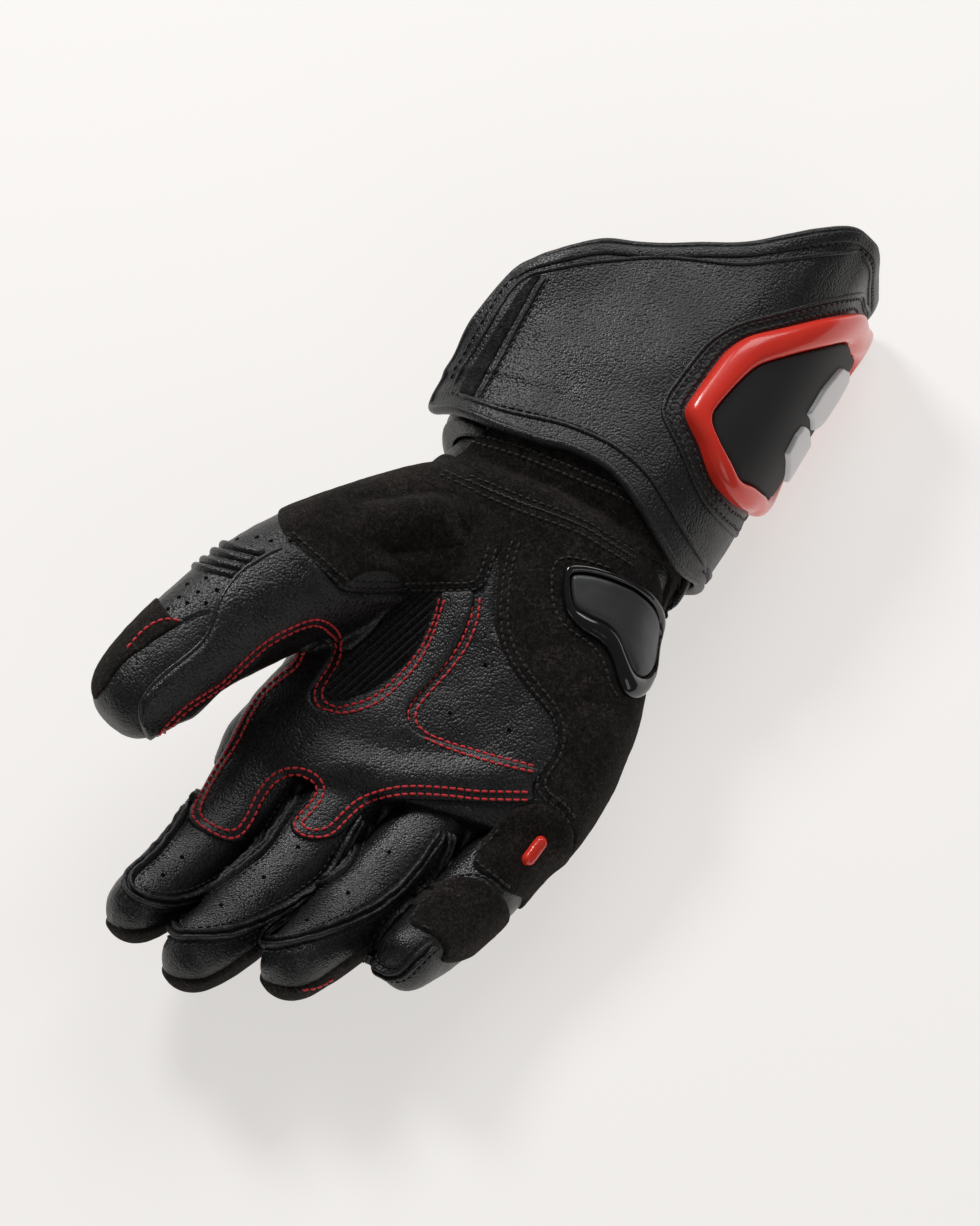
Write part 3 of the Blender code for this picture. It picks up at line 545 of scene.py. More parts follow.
def make_plastic(name, tint, shine, coat, dust):
    """Moulded plastic with faint flow marks, hairline scuffs and rubbed edges."""
    look = Look(name, shine, Specular_IOR_Level=0.5, Coat_Weight=coat, Coat_Roughness=0.06)
    base = look.ramp(look.noise(24, 3, 0.5), ((0.25, shade(tint, 0.94)), (0.75, shade(tint, 1.05))))
    lighter_edges = look.maths("MULTIPLY", convex_edge_share(look, 0.53, 0.70), 0.35)
    look.colour(look.mix(lighter_edges, base, shade(tint, 1.15, 0.008)))
    scuffs = look.noise(900, 6, 0.75, 1.2)
    look.rough(look.ramp(scuffs, ((0.45, shine), (0.85, min(shine + dust, 1.0)))))
    look.raise_by(look.noise(1800, 3, 0.5), 0.00002, 0.3)
    return look.material


def make_thread(name, tint):
    """Twisted bonded thread."""
    look = Look(name, 0.45, Sheen_Weight=0.15, Specular_IOR_Level=0.4)
    twist = look.noise(2400, 2, 0.5)
    look.colour(look.ramp(twist, ((0.30, shade(tint, 0.70)), (0.70, shade(tint, 1.2)))))
    look.raise_by(twist, 0.00012, 0.6)
    return look.material


LEATHER = make_leather("grained_leather", (0.0102, 0.0107, 0.0112), 0.40, 0.80, 1350.0)
# Finer grain for the finger stalls. Its tint, lighter than the other leather, is painted light that brightens
# the fingers.
FINGER_LEATHER = make_leather("fine_leather", (0.0155, 0.0160, 0.0163), 0.35, 0.70, 1500.0)
THUMB_GRAIN = make_leather("coarse_leather", (0.0105, 0.0110, 0.0115), 0.37, 0.90, 1200.0)
SMOOTH_LEATHER = make_leather("smooth_leather", (0.0135, 0.0140, 0.0145), 0.37, 0.70, 1400.0)
# Painted highlight: a lighter leather for the welt along the thumb panel's edge, for the light that the raised
# edge catches.
HIGHLIGHT_EDGE_LEATHER = make_leather("painted_highlight_leather", (0.021, 0.022, 0.023), 0.30, 0.5, 1100.0)
LINING = make_suede("lining_cloth", (0.012, 0.012, 0.0125))
SUEDE = make_suede("black_suede", (0.0120, 0.0100, 0.0088))
KNIT_CLOTH = make_knit("stretch_knit", (0.013, 0.013, 0.014))
GLOSS = make_plastic("gloss_black", (0.006, 0.006, 0.007), 0.10, 0.6, 0.06)
BLACK_PLASTIC = make_plastic("satin_black", (0.014, 0.013, 0.0135), 0.72, 0.0, 0.10)
GREY_PLASTIC = make_plastic("satin_grey", (0.043, 0.044, 0.047), 0.38, 0.0, 0.10)
RED_PLASTIC = make_plastic("moulded_red", (0.90, 0.042, 0.024), 0.24, 0.35, 0.05)
SILVER_PLASTIC = make_plastic("pale_grey", (0.70, 0.70, 0.71), 0.32, 0.0, 0.08)
RED_THREAD = make_thread("red_thread", (0.84, 0.034, 0.045))
BLACK_THREAD = make_thread("black_thread", (0.016, 0.016, 0.018))
HOLE = make_suede("hole_shadow", (0.0012, 0.0012, 0.0012), 0.0)
SEAM_LEATHER = make_leather("cut_edge_leather", (0.0060, 0.0062, 0.0066), 0.48, 0.9, 1000.0)
FUZZ = make_suede("brushed_strip", (0.014, 0.014, 0.015))


# Base form

HAND_SIDES = 112
FINGER_SIDES = 72
THUMB_SIDES = 72
LEAST_HALF = 0.0003


def palm_y(along):
    return (GUARD_ALONG - along) * PALM_LENGTH


def hand_sizes(row):
    width = row.half_width * PALM_WIDTH
    wrist_share = min(max(1 - row.along / 0.4, 0), 1)
    width += wrist_share * (WRIST_WIDTH / 2 - HAND_ROWS[1].half_width * PALM_WIDTH)
    depth = row.half_depth * PALM_DEPTH
    knuckle_share = min(max((row.along - 0.4) / 0.443, 0), 1)
    depth += knuckle_share * (KNUCKLE_DEPTH - 2 * HAND_ROWS[5].half_depth * PALM_DEPTH) / 2
    return width, depth


def hand_point_of(row, degrees, offset):
    width, depth = hand_sizes(row)
    x, z = superellipse(math.radians(degrees), width + offset, depth + offset, row.squareness)
    return Vector((
        row.across * PALM_WIDTH + x, palm_y(row.along) + row.slant * x, row.height * PALM_DEPTH + z,
    ))


def hand_point(along, degrees, offset):
    return hand_point_of(row_at(HAND_ROWS, along), degrees, offset)


def hand_ring(row, offset=0.0):
    return [hand_point_of(row, 360 * k / HAND_SIDES, offset) for k in range(HAND_SIDES)]


def finger_width(finger):
    span = KNUCKLE_SPAN - FINGER_GAP * (len(FINGERS) - 1)
    return span * finger.girth / sum(other.girth for other in FINGERS)


def finger_x(finger):
    x = HAND_ROWS[-1].across * PALM_WIDTH - KNUCKLE_SPAN / 2
    for other in FINGERS:
        if other is finger:
            return x + finger_width(other) / 2
        x += finger_width(other) + FINGER_GAP


def cross_frame(tangent):
    """Across and upward for a finger whose axis runs along tangent."""
    across = Vector((1, 0, 0))
    across = (across - tangent * across.dot(tangent)).normalized()
    upward = across.cross(tangent)
    return across, -upward if upward.z < 0 else upward


def finger_line(finger, steps):
    """The finger's rows with their centre, across and upward."""
    def way_of(row):
        pitch = math.radians(row.pitch * finger.curl)
        flat = math.cos(pitch)
        return Vector((math.sin(lean) * flat, -math.cos(lean) * flat, math.sin(pitch)))

    lean = math.radians(finger.lean)
    rows = denser(FINGER_ROWS, steps)
    ways = [way_of(row) for row in rows]
    centre = Vector((finger_x(finger), palm_y(finger.root), FINGER_ROOT_HEIGHT * PALM_DEPTH))
    centre += ways[0] * rows[0].along * finger.length
    framed = []
    for k, row in enumerate(rows):
        if k > 0:
            centre = centre + ways[k] * (row.along - rows[k - 1].along) * finger.length
        tangent = (ways[k] + ways[min(k + 1, len(rows) - 1)]).normalized()
        framed.append((row, centre, *cross_frame(tangent)))
    return framed


def thumb_line(steps):
    """The thumb's rows with their centre, across and upward."""
    root = Vector((
        THUMB_ROOT_ACROSS * PALM_WIDTH, palm_y(THUMB_ROOT_ALONG), THUMB_ROOT_HEIGHT * PALM_DEPTH,
    ))
    rows = denser(THUMB_ROWS, steps)
    centres = [root + Vector((-row.outward, -row.forward, row.upward)) * THUMB_LENGTH for row in rows]
    framed = []
    for k, row in enumerate(rows):
        tangent = (centres[min(k + 1, len(rows) - 1)] - centres[max(k - 1, 0)]).normalized()
        framed.append((row, centres[k], *cross_frame(tangent)))
    return framed


def thumb_axis_near(place):
    """The nearest point of the thumb's axis."""
    return min((centre for _, centre, *_ in thumb_line(3)), key=lambda centre: (centre - place).length)


def ring_of(centre, across, upward, half_width, half_depth, squareness, sides):
    ring = []
    for k in range(sides):
        angle = 2 * math.pi * k / sides
        x, y = superellipse(angle, max(half_width, LEAST_HALF), max(half_depth, LEAST_HALF), squareness)
        ring.append(centre + across * x + upward * y)
    return ring


def loft(name, rings, material=None, caps=True):
    size = (len(rings), len(rings[0]))
    faces = grid_faces(*size, closed=True) + (end_caps(*size) if caps else [])
    return face_out(new_object(name, [point for ring in rings for point in ring], faces, material))


def hand_form():
    return loft("hand_form", [hand_ring(row) for row in denser(HAND_ROWS, 6)])


def finger_form(finger):
    rings = []
    for row, centre, across, upward in finger_line(finger, 9):
        rings.append(ring_of(
            centre, across, upward, row.half_width * finger_width(finger),
            row.half_depth * FINGER_DEPTH * finger.girth, row.squareness, FINGER_SIDES,
        ))
    return loft(finger.name + "_form", rings)


def thumb_form():
    rings = []
    for row, centre, across, upward in thumb_line(5):
        rings.append(ring_of(
            centre, across, upward, row.half_width * THUMB_WIDTH, row.half_depth * THUMB_WIDTH,
            row.squareness, THUMB_SIDES,
        ))
    return loft("thumb_form", rings)


GUSSET_HALF = Vector((0.0032, 0.0085, 0.0085))
GUSSET_STEPS = 12
GUSSET_SIDES = 24


def gusset_forms():
    """The small forms that close the crotches between the fingers."""
    forms = []
    for first, second in zip(FINGERS, FINGERS[1:]):
        x = (finger_x(first) + finger_x(second)) / 2
        y = palm_y(HAND_ROWS[-1].along) + KNUCKLE_SLANT * x
        rings = []
        for k in range(1, GUSSET_STEPS):
            angle = math.pi * k / GUSSET_STEPS
            centre = Vector((x, y - math.cos(angle) * GUSSET_HALF.y, FINGER_ROOT_HEIGHT * PALM_DEPTH))
            half = GUSSET_HALF * math.sin(angle)
            rings.append(ring_of(
                centre, Vector((1, 0, 0)), Vector((0, 0, 1)), half.x, half.z, 2.0, GUSSET_SIDES,
            ))
        forms.append(loft("gusset", rings))
    return forms


def joined(name, forms, keep=False):
    """One mesh object of several forms."""
    work = bmesh.new()
    for form in forms:
        work.from_mesh(form.data)
    mesh = bpy.data.meshes.new(name)
    work.to_mesh(mesh)
    work.free()
    obj = bpy.data.objects.new(name, mesh)
    bpy.context.scene.collection.objects.link(obj)
    if not keep:
        for form in forms:
            bpy.data.objects.remove(form)
    return obj


def remeshed(obj, voxel, smoothing):
    """A single skin of even quads round overlapping solids, with soft inner corners."""
    remesh = obj.modifiers.new("remesh", "REMESH")
    remesh.mode = "VOXEL"
    remesh.voxel_size = voxel
    remesh.use_smooth_shade = True
    smooth = obj.modifiers.new("smooth", "SMOOTH")
    smooth.factor = 0.5
    smooth.iterations = smoothing
    return apply_modifiers(obj)


def distance_to_line(pixels, line):
    """Each pixel's distance to a polyline, and how far along it the nearest place is."""
    best = np.full(len(pixels), 1e9)
    share = np.zeros(len(pixels))
    line = np.array(line, dtype=float)
    lengths = np.concatenate([[0], np.cumsum(np.linalg.norm(np.diff(line, axis=0), axis=1))])
    for k in range(len(line) - 1):
        way = line[k + 1] - line[k]
        t = np.clip(((pixels - line[k]) @ way) / max(way @ way, 1e-9), 0, 1)
        gap = np.linalg.norm(pixels - (line[k] + t[:, None] * way), axis=1)
        nearer = gap < best
        best[nearer] = gap[nearer]
        share[nearer] = ((lengths[k] + t * (lengths[k + 1] - lengths[k])) / lengths[-1])[nearer]
    return best, share


def bell(distance, width):
    return np.exp(-((distance / width) ** 2))


# Folds and hollows of the worn form: (pixels along it, half width in pixels, height in millimetres)
FOLDS = (
    (((378, 552), (398, 549), (425, 547), (452, 540), (470, 524)), 7, -3.4),
    (((360, 522), (385, 517), (420, 513), (452, 513)), 16, 3.6),
    (((350, 501), (392, 501), (430, 494), (460, 499)), 8, -2.0),
    (((300, 520), (330, 505), (360, 492)), 12, 0.8),
    (((292, 560), (330, 596), (392, 604)), 12, -0.7),
    (((441, 592), (420, 640), (384, 680), (340, 700)), 15, -1.0),
    (((503, 550), (499, 582), (496, 610), (498, 634)), 4, -1.6),
    (((470, 452), (514, 468), (560, 487), (604, 510), (645, 540)), 9, -3.2),
    (((478, 432), (530, 447), (590, 474), (640, 505)), 9, 1.2),
    (((520, 510), (565, 528), (610, 552), (650, 580)), 11, 1.2),
    (((262, 660), (300, 640), (330, 634)), 12, -1.2),
    (((318, 720), (360, 742), (420, 752), (500, 752)), 18, -0.8),
    (((330, 760), (400, 775), (470, 775), (520, 770)), 16, 0.7),
    (((560, 720), (590, 700), (615, 712)), 9, -0.9),
    (((545, 690), (575, 665), (600, 668)), 12, 0.8),
)
# Fuller places of the outline as (pixel, radius in pixels, shift in pixels)
BULGES = (
    ((236, 722), 36, (-11, -1)),
    ((215, 765), 26, (-5, -1)),
)
PIXEL_METRES = CAMERA_DISTANCE / FOCAL_PX
PALM_BOWL = ((432, 700), 95, -2.6)
WRINKLE_SCALE = 55.0
WRINKLE_HEIGHT = 0.00050
CREASE_SCALE = 230.0
CREASE_HEIGHT = 0.00012


def sculpt(obj):
    """Moves a form's points along their normals by hollows, folds and wrinkles."""
    points = coordinates(obj)
    normals = vertex_normals(obj)
    pixels = project_all(points)
    facing = np.clip((normals @ np.array(BACK)) * 2.2, 0, 1)
    height = np.zeros(len(points))
    for centre, radius, (right, down) in BULGES:
        share = bell(np.linalg.norm(pixels - np.array(centre), axis=1), radius)[:, None]
        points = points + share * (np.array(RIGHT) * right - np.array(UPWARD) * down) * PIXEL_METRES
    for line, width, depth in FOLDS:
        gap, share = distance_to_line(pixels, line)
        ends = np.clip(np.minimum(share, 1 - share) * 6 + 0.25, 0, 1)
        height += depth * MM * bell(gap, width) * ends
    centre, radius, depth = PALM_BOWL
    height += depth * MM * bell(np.linalg.norm(pixels - np.array(centre), axis=1), radius)
    height *= facing
    for k, point in enumerate(points):
        place = Vector(point)
        broad = noise.noise(place * WRINKLE_SCALE) + 0.5 * noise.noise(place * WRINKLE_SCALE * 2.1)
        ridged = 1 - abs(noise.noise(place * CREASE_SCALE))
        height[k] += broad * WRINKLE_HEIGHT + (ridged**3 - 0.4) * CREASE_HEIGHT
    set_coordinates(obj, points + normals * height[:, None])


BASE_VOXEL = 0.00115


def make_base():
    """The leather hand with its thumb, the four stalls, and one skin round all of them to lay pieces on."""
    hand, thumb = hand_form(), thumb_form()
    gussets = gusset_forms()
    stalls = [finger_form(finger) for finger in FINGERS]
    support = remeshed(joined("support", [hand, thumb] + gussets + stalls, keep=True), BASE_VOXEL * 1.25, 10)
    body = remeshed(joined("palm_body", [hand, thumb] + gussets), BASE_VOXEL, 8)
    sculpt(support)
    sculpt(body)
    for stall in stalls:
        stall.data.shade_smooth()
        sculpt(stall)
        stall.data.materials.append(FINGER_LEATHER)
    body.data.materials.append(LEATHER)
    return body, stalls, support


def open_wrist(body):
    """Takes the flat end at the wrist off the body, so that the glove is open there."""
    end = palm_y(HAND_ROWS[0].along) - 0.0012
    work = bmesh.new()
    work.from_mesh(body.data)
    far = [face for face in work.faces if face.calc_center_median().y > end]
    bmesh.ops.delete(work, geom=far, context="FACES")
    work.to_mesh(body.data)
    work.free()


def make_lining():
    """The dark inside of the hand that shows through the cuff, with a rolled edge at the wrist."""
    rows = [row for row in denser(HAND_ROWS, 4) if row.along < 0.95]
    rings = [hand_ring(rows[0])]
    rings.append([point + Vector((0, 0.0006, 0)) for point in hand_ring(rows[0], -0.0018)])
    for row in rows:
        rings.append(hand_ring(row, -0.0022 - 0.006 * smooth_step(row.along, 0.0, 0.4)))
    piece(loft("hand_lining", rings, LINING, caps=False), "leather")


# Cuff

def cuff_point(along, degrees, offset):
    row = row_at(CUFF_ROWS, along)
    wrist_half = WRIST_WIDTH / 2 + CUFF_WALL + CUFF_CLEARANCE
    half_width = wrist_half + row.flare * (MOUTH_WIDTH / 2 - wrist_half)
    half_depth = (WRIST_CUFF_DEPTH + row.flare * (MOUTH_DEPTH - WRIST_CUFF_DEPTH)) / 2
    x, z = superellipse(math.radians(degrees), half_width + offset, half_depth + offset, row.squareness)
    centre_x = CUFF_CENTRE_ACROSS * PALM_WIDTH + row.sideways * MOUTH_WIDTH
    centre_z = WRIST_LIFT * (1 - row.flare) + half_depth
    y = palm_y(0) + along * CUFF_LENGTH + row.slant * x + row.tilt * z
    return Vector((centre_x + x, y, max(centre_z + z, max(-offset, 0))))


FLAP_FIRST, FLAP_LAST = -50.0, 160.0
FLAP_LOOSE = 110.0
FLAP_END_NEAR, FLAP_END_FAR = 170.0, 138.0


def flap_point(along, degrees, offset):
    share = max(0, (degrees - FLAP_LOOSE) / (FLAP_LAST - FLAP_LOOSE))
    slanted = FLAP_END_NEAR + (FLAP_END_FAR - FLAP_END_NEAR) * along
    degrees = min(degrees, FLAP_LOOSE) + share * (slanted - FLAP_LOOSE)
    return cuff_point(along, degrees, offset + FLAP_LIFT * share**2 * (1.2 - along))


def evenly(start, end, count):
    return [start + (end - start) * k / (count - 1) for k in range(count)]


def value_on(curve, position):
    """The height of a list of (position, value) corners at a position, smoothly."""
    if position <= curve[0][0]:
        return curve[0][1]
    for k in range(len(curve) - 1):
        if position <= curve[k + 1][0]:
            around = [curve[min(max(k + j, 0), len(curve) - 1)][1] for j in (-1, 0, 1, 2)]
            share = (position - curve[k][0]) / (curve[k + 1][0] - curve[k][0])
            return spline_value(*around, share)
    return curve[-1][1]


# The flap's two edges as (degrees, along)
FLAP_LOW_EDGE = (
    (-50, 0.075), (-8, 0.052), (24, -0.010), (41.6, -0.013), (62, 0.024), (74, 0.053), (81.5, 0.062),
    (91, 0.052), (100.5, 0.020), (120, -0.014), (160, -0.010),
)
FLAP_HIGH_EDGE = (
    (-50, 0.985), (3, 0.980), (21, 0.999), (37, 1.020), (47, 1.019), (61, 0.994), (71, 0.967), (79, 0.946),
    (86, 0.949), (94, 0.982), (104, 1.022), (113, 1.004), (126, 0.982), (160, 0.955),
)
CUFF_HIGH_EDGE = (
    (0, 0.980), (40, 0.985), (85, 0.930), (120, 0.960), (160, 0.985), (200, 0.990), (250, 0.985),
    (300, 0.985), (360, 0.980),
)


CORNER_SHARE = 0.075
CORNER_TURN = 0.035


def flap_place(share, turn, offset):
    """A point of the flap: share runs from its wrist edge to its mouth edge, turn round to its free end."""
    depth = max(0.0, 1 - min(share, 1 - share) / CORNER_SHARE)
    turn = turn * (1 - CORNER_TURN * (1 - math.sqrt(max(0.0, 1 - depth**2))) * turn**6)
    degrees = FLAP_FIRST + (FLAP_LAST - FLAP_FIRST) * turn
    low = value_on(FLAP_LOW_EDGE, degrees)
    high = value_on(FLAP_HIGH_EDGE, degrees)
    along = low + (high - low) * share
    return flap_point(along, degrees, FLAP_GAP + offset + soft_waves(along, degrees))


def soft_waves(along, degrees):
    """Low folds of the thick flap leather, in metres."""
    place = Vector((along * 2.2, degrees / 34.0, 1.7))
    dents = 0.0011 * noise.noise(place) + 0.0004 * noise.noise(place * 2.7)
    pull = -0.0009 * math.exp(-(((degrees - 98) / 9) ** 2)) * (0.4 + 0.6 * along)
    return dents + pull


def sheet_piece(name, point, alongs, angles, thickness, material, closed=False):
    """A curved sheet with two sides and rounded edges, from point(along, angle, offset)."""
    rows, columns = len(alongs), len(angles)
    layer = rows * columns
    vertices = []
    for side in (0.0, thickness):
        vertices += [point(along, angle, side) for along in alongs for angle in angles]
    faces = grid_faces(rows, columns, 0, closed) + grid_faces(rows, columns, layer, closed)
    low, high = list(range(columns)), list(range(layer - columns, layer))
    borders = [low, high]
    if not closed:
        last = [(k + 1) * columns - 1 for k in range(1, rows - 1)]
        first = [k * columns for k in range(rows - 2, 0, -1)]
        borders = [low + last + high[::-1] + first]
    for border in borders:
        for k, corner in enumerate(border):
            faces.append((border[k - 1], corner, corner + layer, border[k - 1] + layer))
    obj = face_out(new_object(name, vertices, faces, material))
    bevel = obj.modifiers.new("edge", "BEVEL")
    bevel.width = thickness * 0.35
    bevel.segments = 3
    bevel.limit_method = "ANGLE"
    bevel.angle_limit = math.radians(50)
    return apply_modifiers(obj)


SLEEVE_TUCK = 0.12
CUFF_MIDDLE = Vector((-0.03, 0.13, 0.03))
FLAP_SHARES = evenly(0, 1, 90)
FLAP_TURNS = evenly(0, 1, 230)


def make_cuff():
    """The sleeve and the flap that wraps over it."""
    def sleeve(share, degrees, offset):
        high = value_on(CUFF_HIGH_EDGE, degrees)
        turned = degrees - 360 if degrees > 250 else degrees
        under_flap = smooth_step(turned, -15, 20) * (1 - smooth_step(turned, 130, 160))
        low = CUFF_ROWS[0].along + SLEEVE_TUCK * under_flap
        along = low + (high - low) * share
        place = Vector((along * 3, degrees / 40.0, 5.1))
        return cuff_point(along, degrees, offset - CUFF_WALL + 0.0006 * noise.noise(place))

    round_cuff = [2.5 * k for k in range(144)]
    shell = sheet_piece(
        "cuff_leather", sleeve, evenly(0, 1, 70), round_cuff, CUFF_WALL, LEATHER, closed=True,
    )
    piece(shell, "leather", "cuff_shell")
    wrap = sheet_piece("flap_leather", flap_place, FLAP_SHARES, FLAP_TURNS, FLAP_THICKNESS, LEATHER)
    piece(wrap, "leather", "cuff_flap")


def flap_face():
    """The flap's upper side alone, to lay its trim on."""
    vertices = [flap_place(share, turn, FLAP_THICKNESS) for share in FLAP_SHARES for turn in FLAP_TURNS]
    grid = new_object("flap_face", vertices, grid_faces(len(FLAP_SHARES), len(FLAP_TURNS)))
    surface = Surface(turned_up(grid, lambda polygon: polygon.center - CUFF_MIDDLE))
    bpy.data.objects.remove(grid)
    return surface


def flap_border():
    """The flap's edge from under the outer side, round its free end and back along the mouth."""
    marks = [(0.0, turn) for turn in evenly(0.02, 1.0, 150)]
    marks += [(share, 1.0) for share in FLAP_SHARES[1:-1]]
    return marks + [(1.0, turn) for turn in evenly(1.0, 0.02, 150)]


def tube(name, centres, ups, wide, high, material, slot="leather", sides=14):
    """A rounded bead along a path, with its own half width and half height in millimetres."""
    rings = []
    for k, (centre, up) in enumerate(zip(centres, ups)):
        way = (centres[min(k + 1, len(centres) - 1)] - centres[max(k - 1, 0)]).normalized()
        up = (up - way * up.dot(way)).normalized()
        rings.append(ring_of(centre, up.cross(way), up, wide * MM, high * MM, 2.0, sides))
    return piece(loft(name, rings, material), slot)


def inner_path(surface, border, inset, first, last):
    """A path on the flap at a distance in millimetres inside its edge, between two shares of its length."""
    path = []
    count = len(border)
    for k in range(int(count * first), int(count * last)):
        place, normal = border[k]
        way = (border[min(k + 2, count - 1)][0] - border[max(k - 2, 0)][0]).normalized()
        path.append(place - normal.cross(way).normalized() * inset * MM)
    path = even_points(path, 0.0015)
    smooth = []
    for k in range(len(path)):
        around = [path[min(max(k + j, 0), len(path) - 1)] for j in (-2, -1, 0, 1, 2)]
        smooth.append(sum(around, Vector((0, 0, 0))) / 5)
    return [surface.nearest(point) for point in even_points(smooth, PATH_STEP * MM)]


def make_flap_trim(face, sewing):
    """The bead round the flap, the bands inside it and their stitches."""
    marks = flap_border()
    centres = even_points([flap_place(share, turn, FLAP_THICKNESS * 0.55) for share, turn in marks], 0.0012)
    tube("flap_bead", centres, [face.nearest(centre)[1] for centre in centres], 1.45, 1.75, SMOOTH_LEATHER)
    border = [face.nearest(flap_place(share, turn, FLAP_THICKNESS)) for share, turn in marks]

    def seen_and_hidden(line, inset):
        """The path that the picture shows, and its way on at an inset from the edge."""
        path = path_on(face, line)
        nearest = min(range(len(border)), key=lambda k: (border[k][0] - path[-1][0]).length)
        share = nearest / len(border)
        low = line[-1][1] > line[0][1]
        return path, inner_path(face, border, inset, 0.0 if low else share, share if low else 1.0)

    strip("flap_band_top", inner_path(face, border, 2.4, 0.60, 1.0), BINDING, SMOOTH_LEATHER, scale=0.72)
    for name, line, inset, scale in FLAP_WELTS:
        for part, path in zip((name, name + "_hidden"), seen_and_hidden(line, inset)):
            strip(part, path, THIN_WELT, SMOOTH_LEATHER, scale=scale)
    for line, inset in FLAP_ROWS:
        for path in seen_and_hidden(line, inset):
            sewing.row(face, path, pitch=2.7, length=2.1, radius=0.33)


# Welts and stitches inside the flap's edge, in pixels, with their inset in millimetres where they go unseen
FLAP_WELTS = (
    ("flap_welt_top", (
        (452, 388), (464, 366), (482, 337), (499, 308), (513, 288), (530, 275), (549, 270), (585, 263),
        (626, 259), (660, 257), (687, 259), (737, 264), (773, 261), (819, 255), (860, 251),
    ), 6.6, 0.80),
    ("flap_welt_low", (
        (458, 394), (478, 401), (508, 411), (561, 423), (602, 439), (626, 454), (649, 476), (665, 500),
        (690, 541), (706, 566),
    ), 4.6, 0.95),
)
FLAP_ROWS = (
    ((
        (449, 381), (468, 346), (493, 303), (508, 282), (524, 271), (543, 264), (596, 254), (660, 250),
        (705, 253), (737, 256), (760, 255), (796, 249), (841, 243), (862, 242),
    ), 5.0),
    ((
        (449, 391), (467, 398), (508, 407), (558, 419), (596, 433), (623, 449), (645, 468), (664, 494),
        (688, 536), (705, 560),
    ), 3.1),
)


# The strip near the flap's free end, in pixels
END_STRIP = (
    (459, 391), (466, 395), (473, 397), (484, 378), (496, 356), (509, 332), (522, 309), (534, 287),
    (542, 275), (535, 275), (528, 281), (519, 291), (505, 313), (492, 334), (477, 358), (466, 377),
)
END_STRIP_ROW = ((477, 400), (488, 381), (501, 358), (514, 333), (527, 309), (539, 287), (547, 274))


def make_end_strip(face, sewing):
    """The brushed strip near the flap's free end, with a welt and a stitch row beside it."""
    panel("flap_end_pad", View(face, BACK), END_STRIP, 0.55, 0.8, FUZZ, "knit", "flap_end_strip", pitch=0.8)
    path = path_on(face, END_STRIP_ROW)
    strip("strip_welt_1", path, THIN_WELT, SEAM_LEATHER)
    sewing.row(face, path, -1.2, pitch=2.4, length=1.8, radius=0.30)


# The cuff's slider on the flap as (along, degrees)
SLIDER_RING = (
    (0.206, 20), (0.199, 33), (0.216, 44), (0.262, 56), (0.306, 65.5), (0.345, 68.4), (0.422, 68.4),
    (0.520, 67.6), (0.566, 66.0), (0.607, 62.0), (0.655, 51), (0.710, 36), (0.768, 17.4), (0.823, 2.6),
    (0.865, -9), (0.872, -17), (0.840, -25), (0.770, -32), (0.660, -36), (0.540, -36.5), (0.440, -32),
    (0.350, -22), (0.270, -6), (0.226, 8),
)
SLIDER_PLATE = (
    (0.262, 16), (0.238, 29), (0.248, 38), (0.270, 47.5), (0.300, 55), (0.328, 58.5), (0.365, 59.2),
    (0.440, 57.6), (0.498, 55.2), (0.528, 52.4), (0.558, 47), (0.615, 34), (0.680, 17), (0.742, 0.6),
    (0.775, -10), (0.770, -19), (0.730, -25), (0.640, -28.5), (0.540, -29), (0.455, -25), (0.385, -17),
    (0.320, -4), (0.284, 6),
)
RING_PROFILE = (
    (0.0, -0.6), (0.0, 1.6), (0.03, 2.5), (0.09, 3.3), (0.18, 3.9), (0.32, 4.35), (0.52, 4.6), (0.72, 4.6),
    (0.85, 4.4), (0.94, 3.9), (1.0, 3.0), (1.02, 1.0),
)
SLIDER_SEAT = 0.0035
PAD_INSETS = (0.3, 0.7, 1.15)
BARS = (
    ((0.392, 8.5), (0.440, 10.0), (0.474, 8.0), (0.503, -1.0), (0.522, -12), (0.470, -16), (0.405, -12)),
    ((0.500, 9.5), (0.572, 8.0), (0.660, 2.5), (0.702, -1.5), (0.706, -9), (0.660, -14), (0.585, -11),
     (0.520, -2)),
)


def arc_mm(degrees):
    return math.radians(degrees) * (MOUTH_WIDTH + MOUTH_DEPTH) / 4 * 1000


def cuff_flat(mark):
    return Vector((mark[0] * CUFF_LENGTH * 1000, arc_mm(mark[1])))


def cuff_lift(flat, height):
    """A point over the flap from the plane of the cuff, at a height in metres above the flap's top."""
    degrees = math.degrees(flat[1] * 0.001 * 4 / (MOUTH_WIDTH + MOUTH_DEPTH))
    return flap_point(flat[0] * 0.001 / CUFF_LENGTH, degrees, SLIDER_SEAT + height)


def pad(name, loop, lift, bottom, top, radius, material, slot, node, dome=0.0, pitch=1.6, insets=PAD_INSETS):
    """A pad inside a loop of a plane that lift(flat, height) lays on the glove, sizes in millimetres."""
    flats, faces = filled(loop, pitch, [radius * share for share in insets])
    tree = near_tree(loop)
    distances = [tree.find((*flat, 0))[2] for flat in flats]
    largest = max(distances)
    vertices = []
    for flat, distance in zip(flats, distances):
        share = 1 - min(distance / radius, 1)
        height = bottom + (top - bottom) * math.sqrt(max(1 - share**2, 0))
        height += dome * smooth_step(distance, 0, largest)
        vertices.append(lift(flat, height * MM))
    middle = lift(sum(flats, Vector((0, 0))) / len(flats), -0.01)
    obj = turned_up(new_object(name, vertices, faces, material), lambda polygon: polygon.center - middle)
    return piece(obj, slot, node)


def rim(name, outline, inner, lift, profile, material, slot, node):
    """A ring between two loops of a plane. The profile is (share of the way in, height in millimetres)."""
    tree = near_tree(inner)
    vertices = []
    for point in outline:
        near = Vector(tree.find((*point, 0))[0][:2])
        vertices += [lift(point.lerp(near, share), height * MM) for share, height in profile]
    faces = grid_faces(len(outline), len(profile), round_rows=True)
    return piece(face_out(new_object(name, vertices, faces, material)), slot, node)


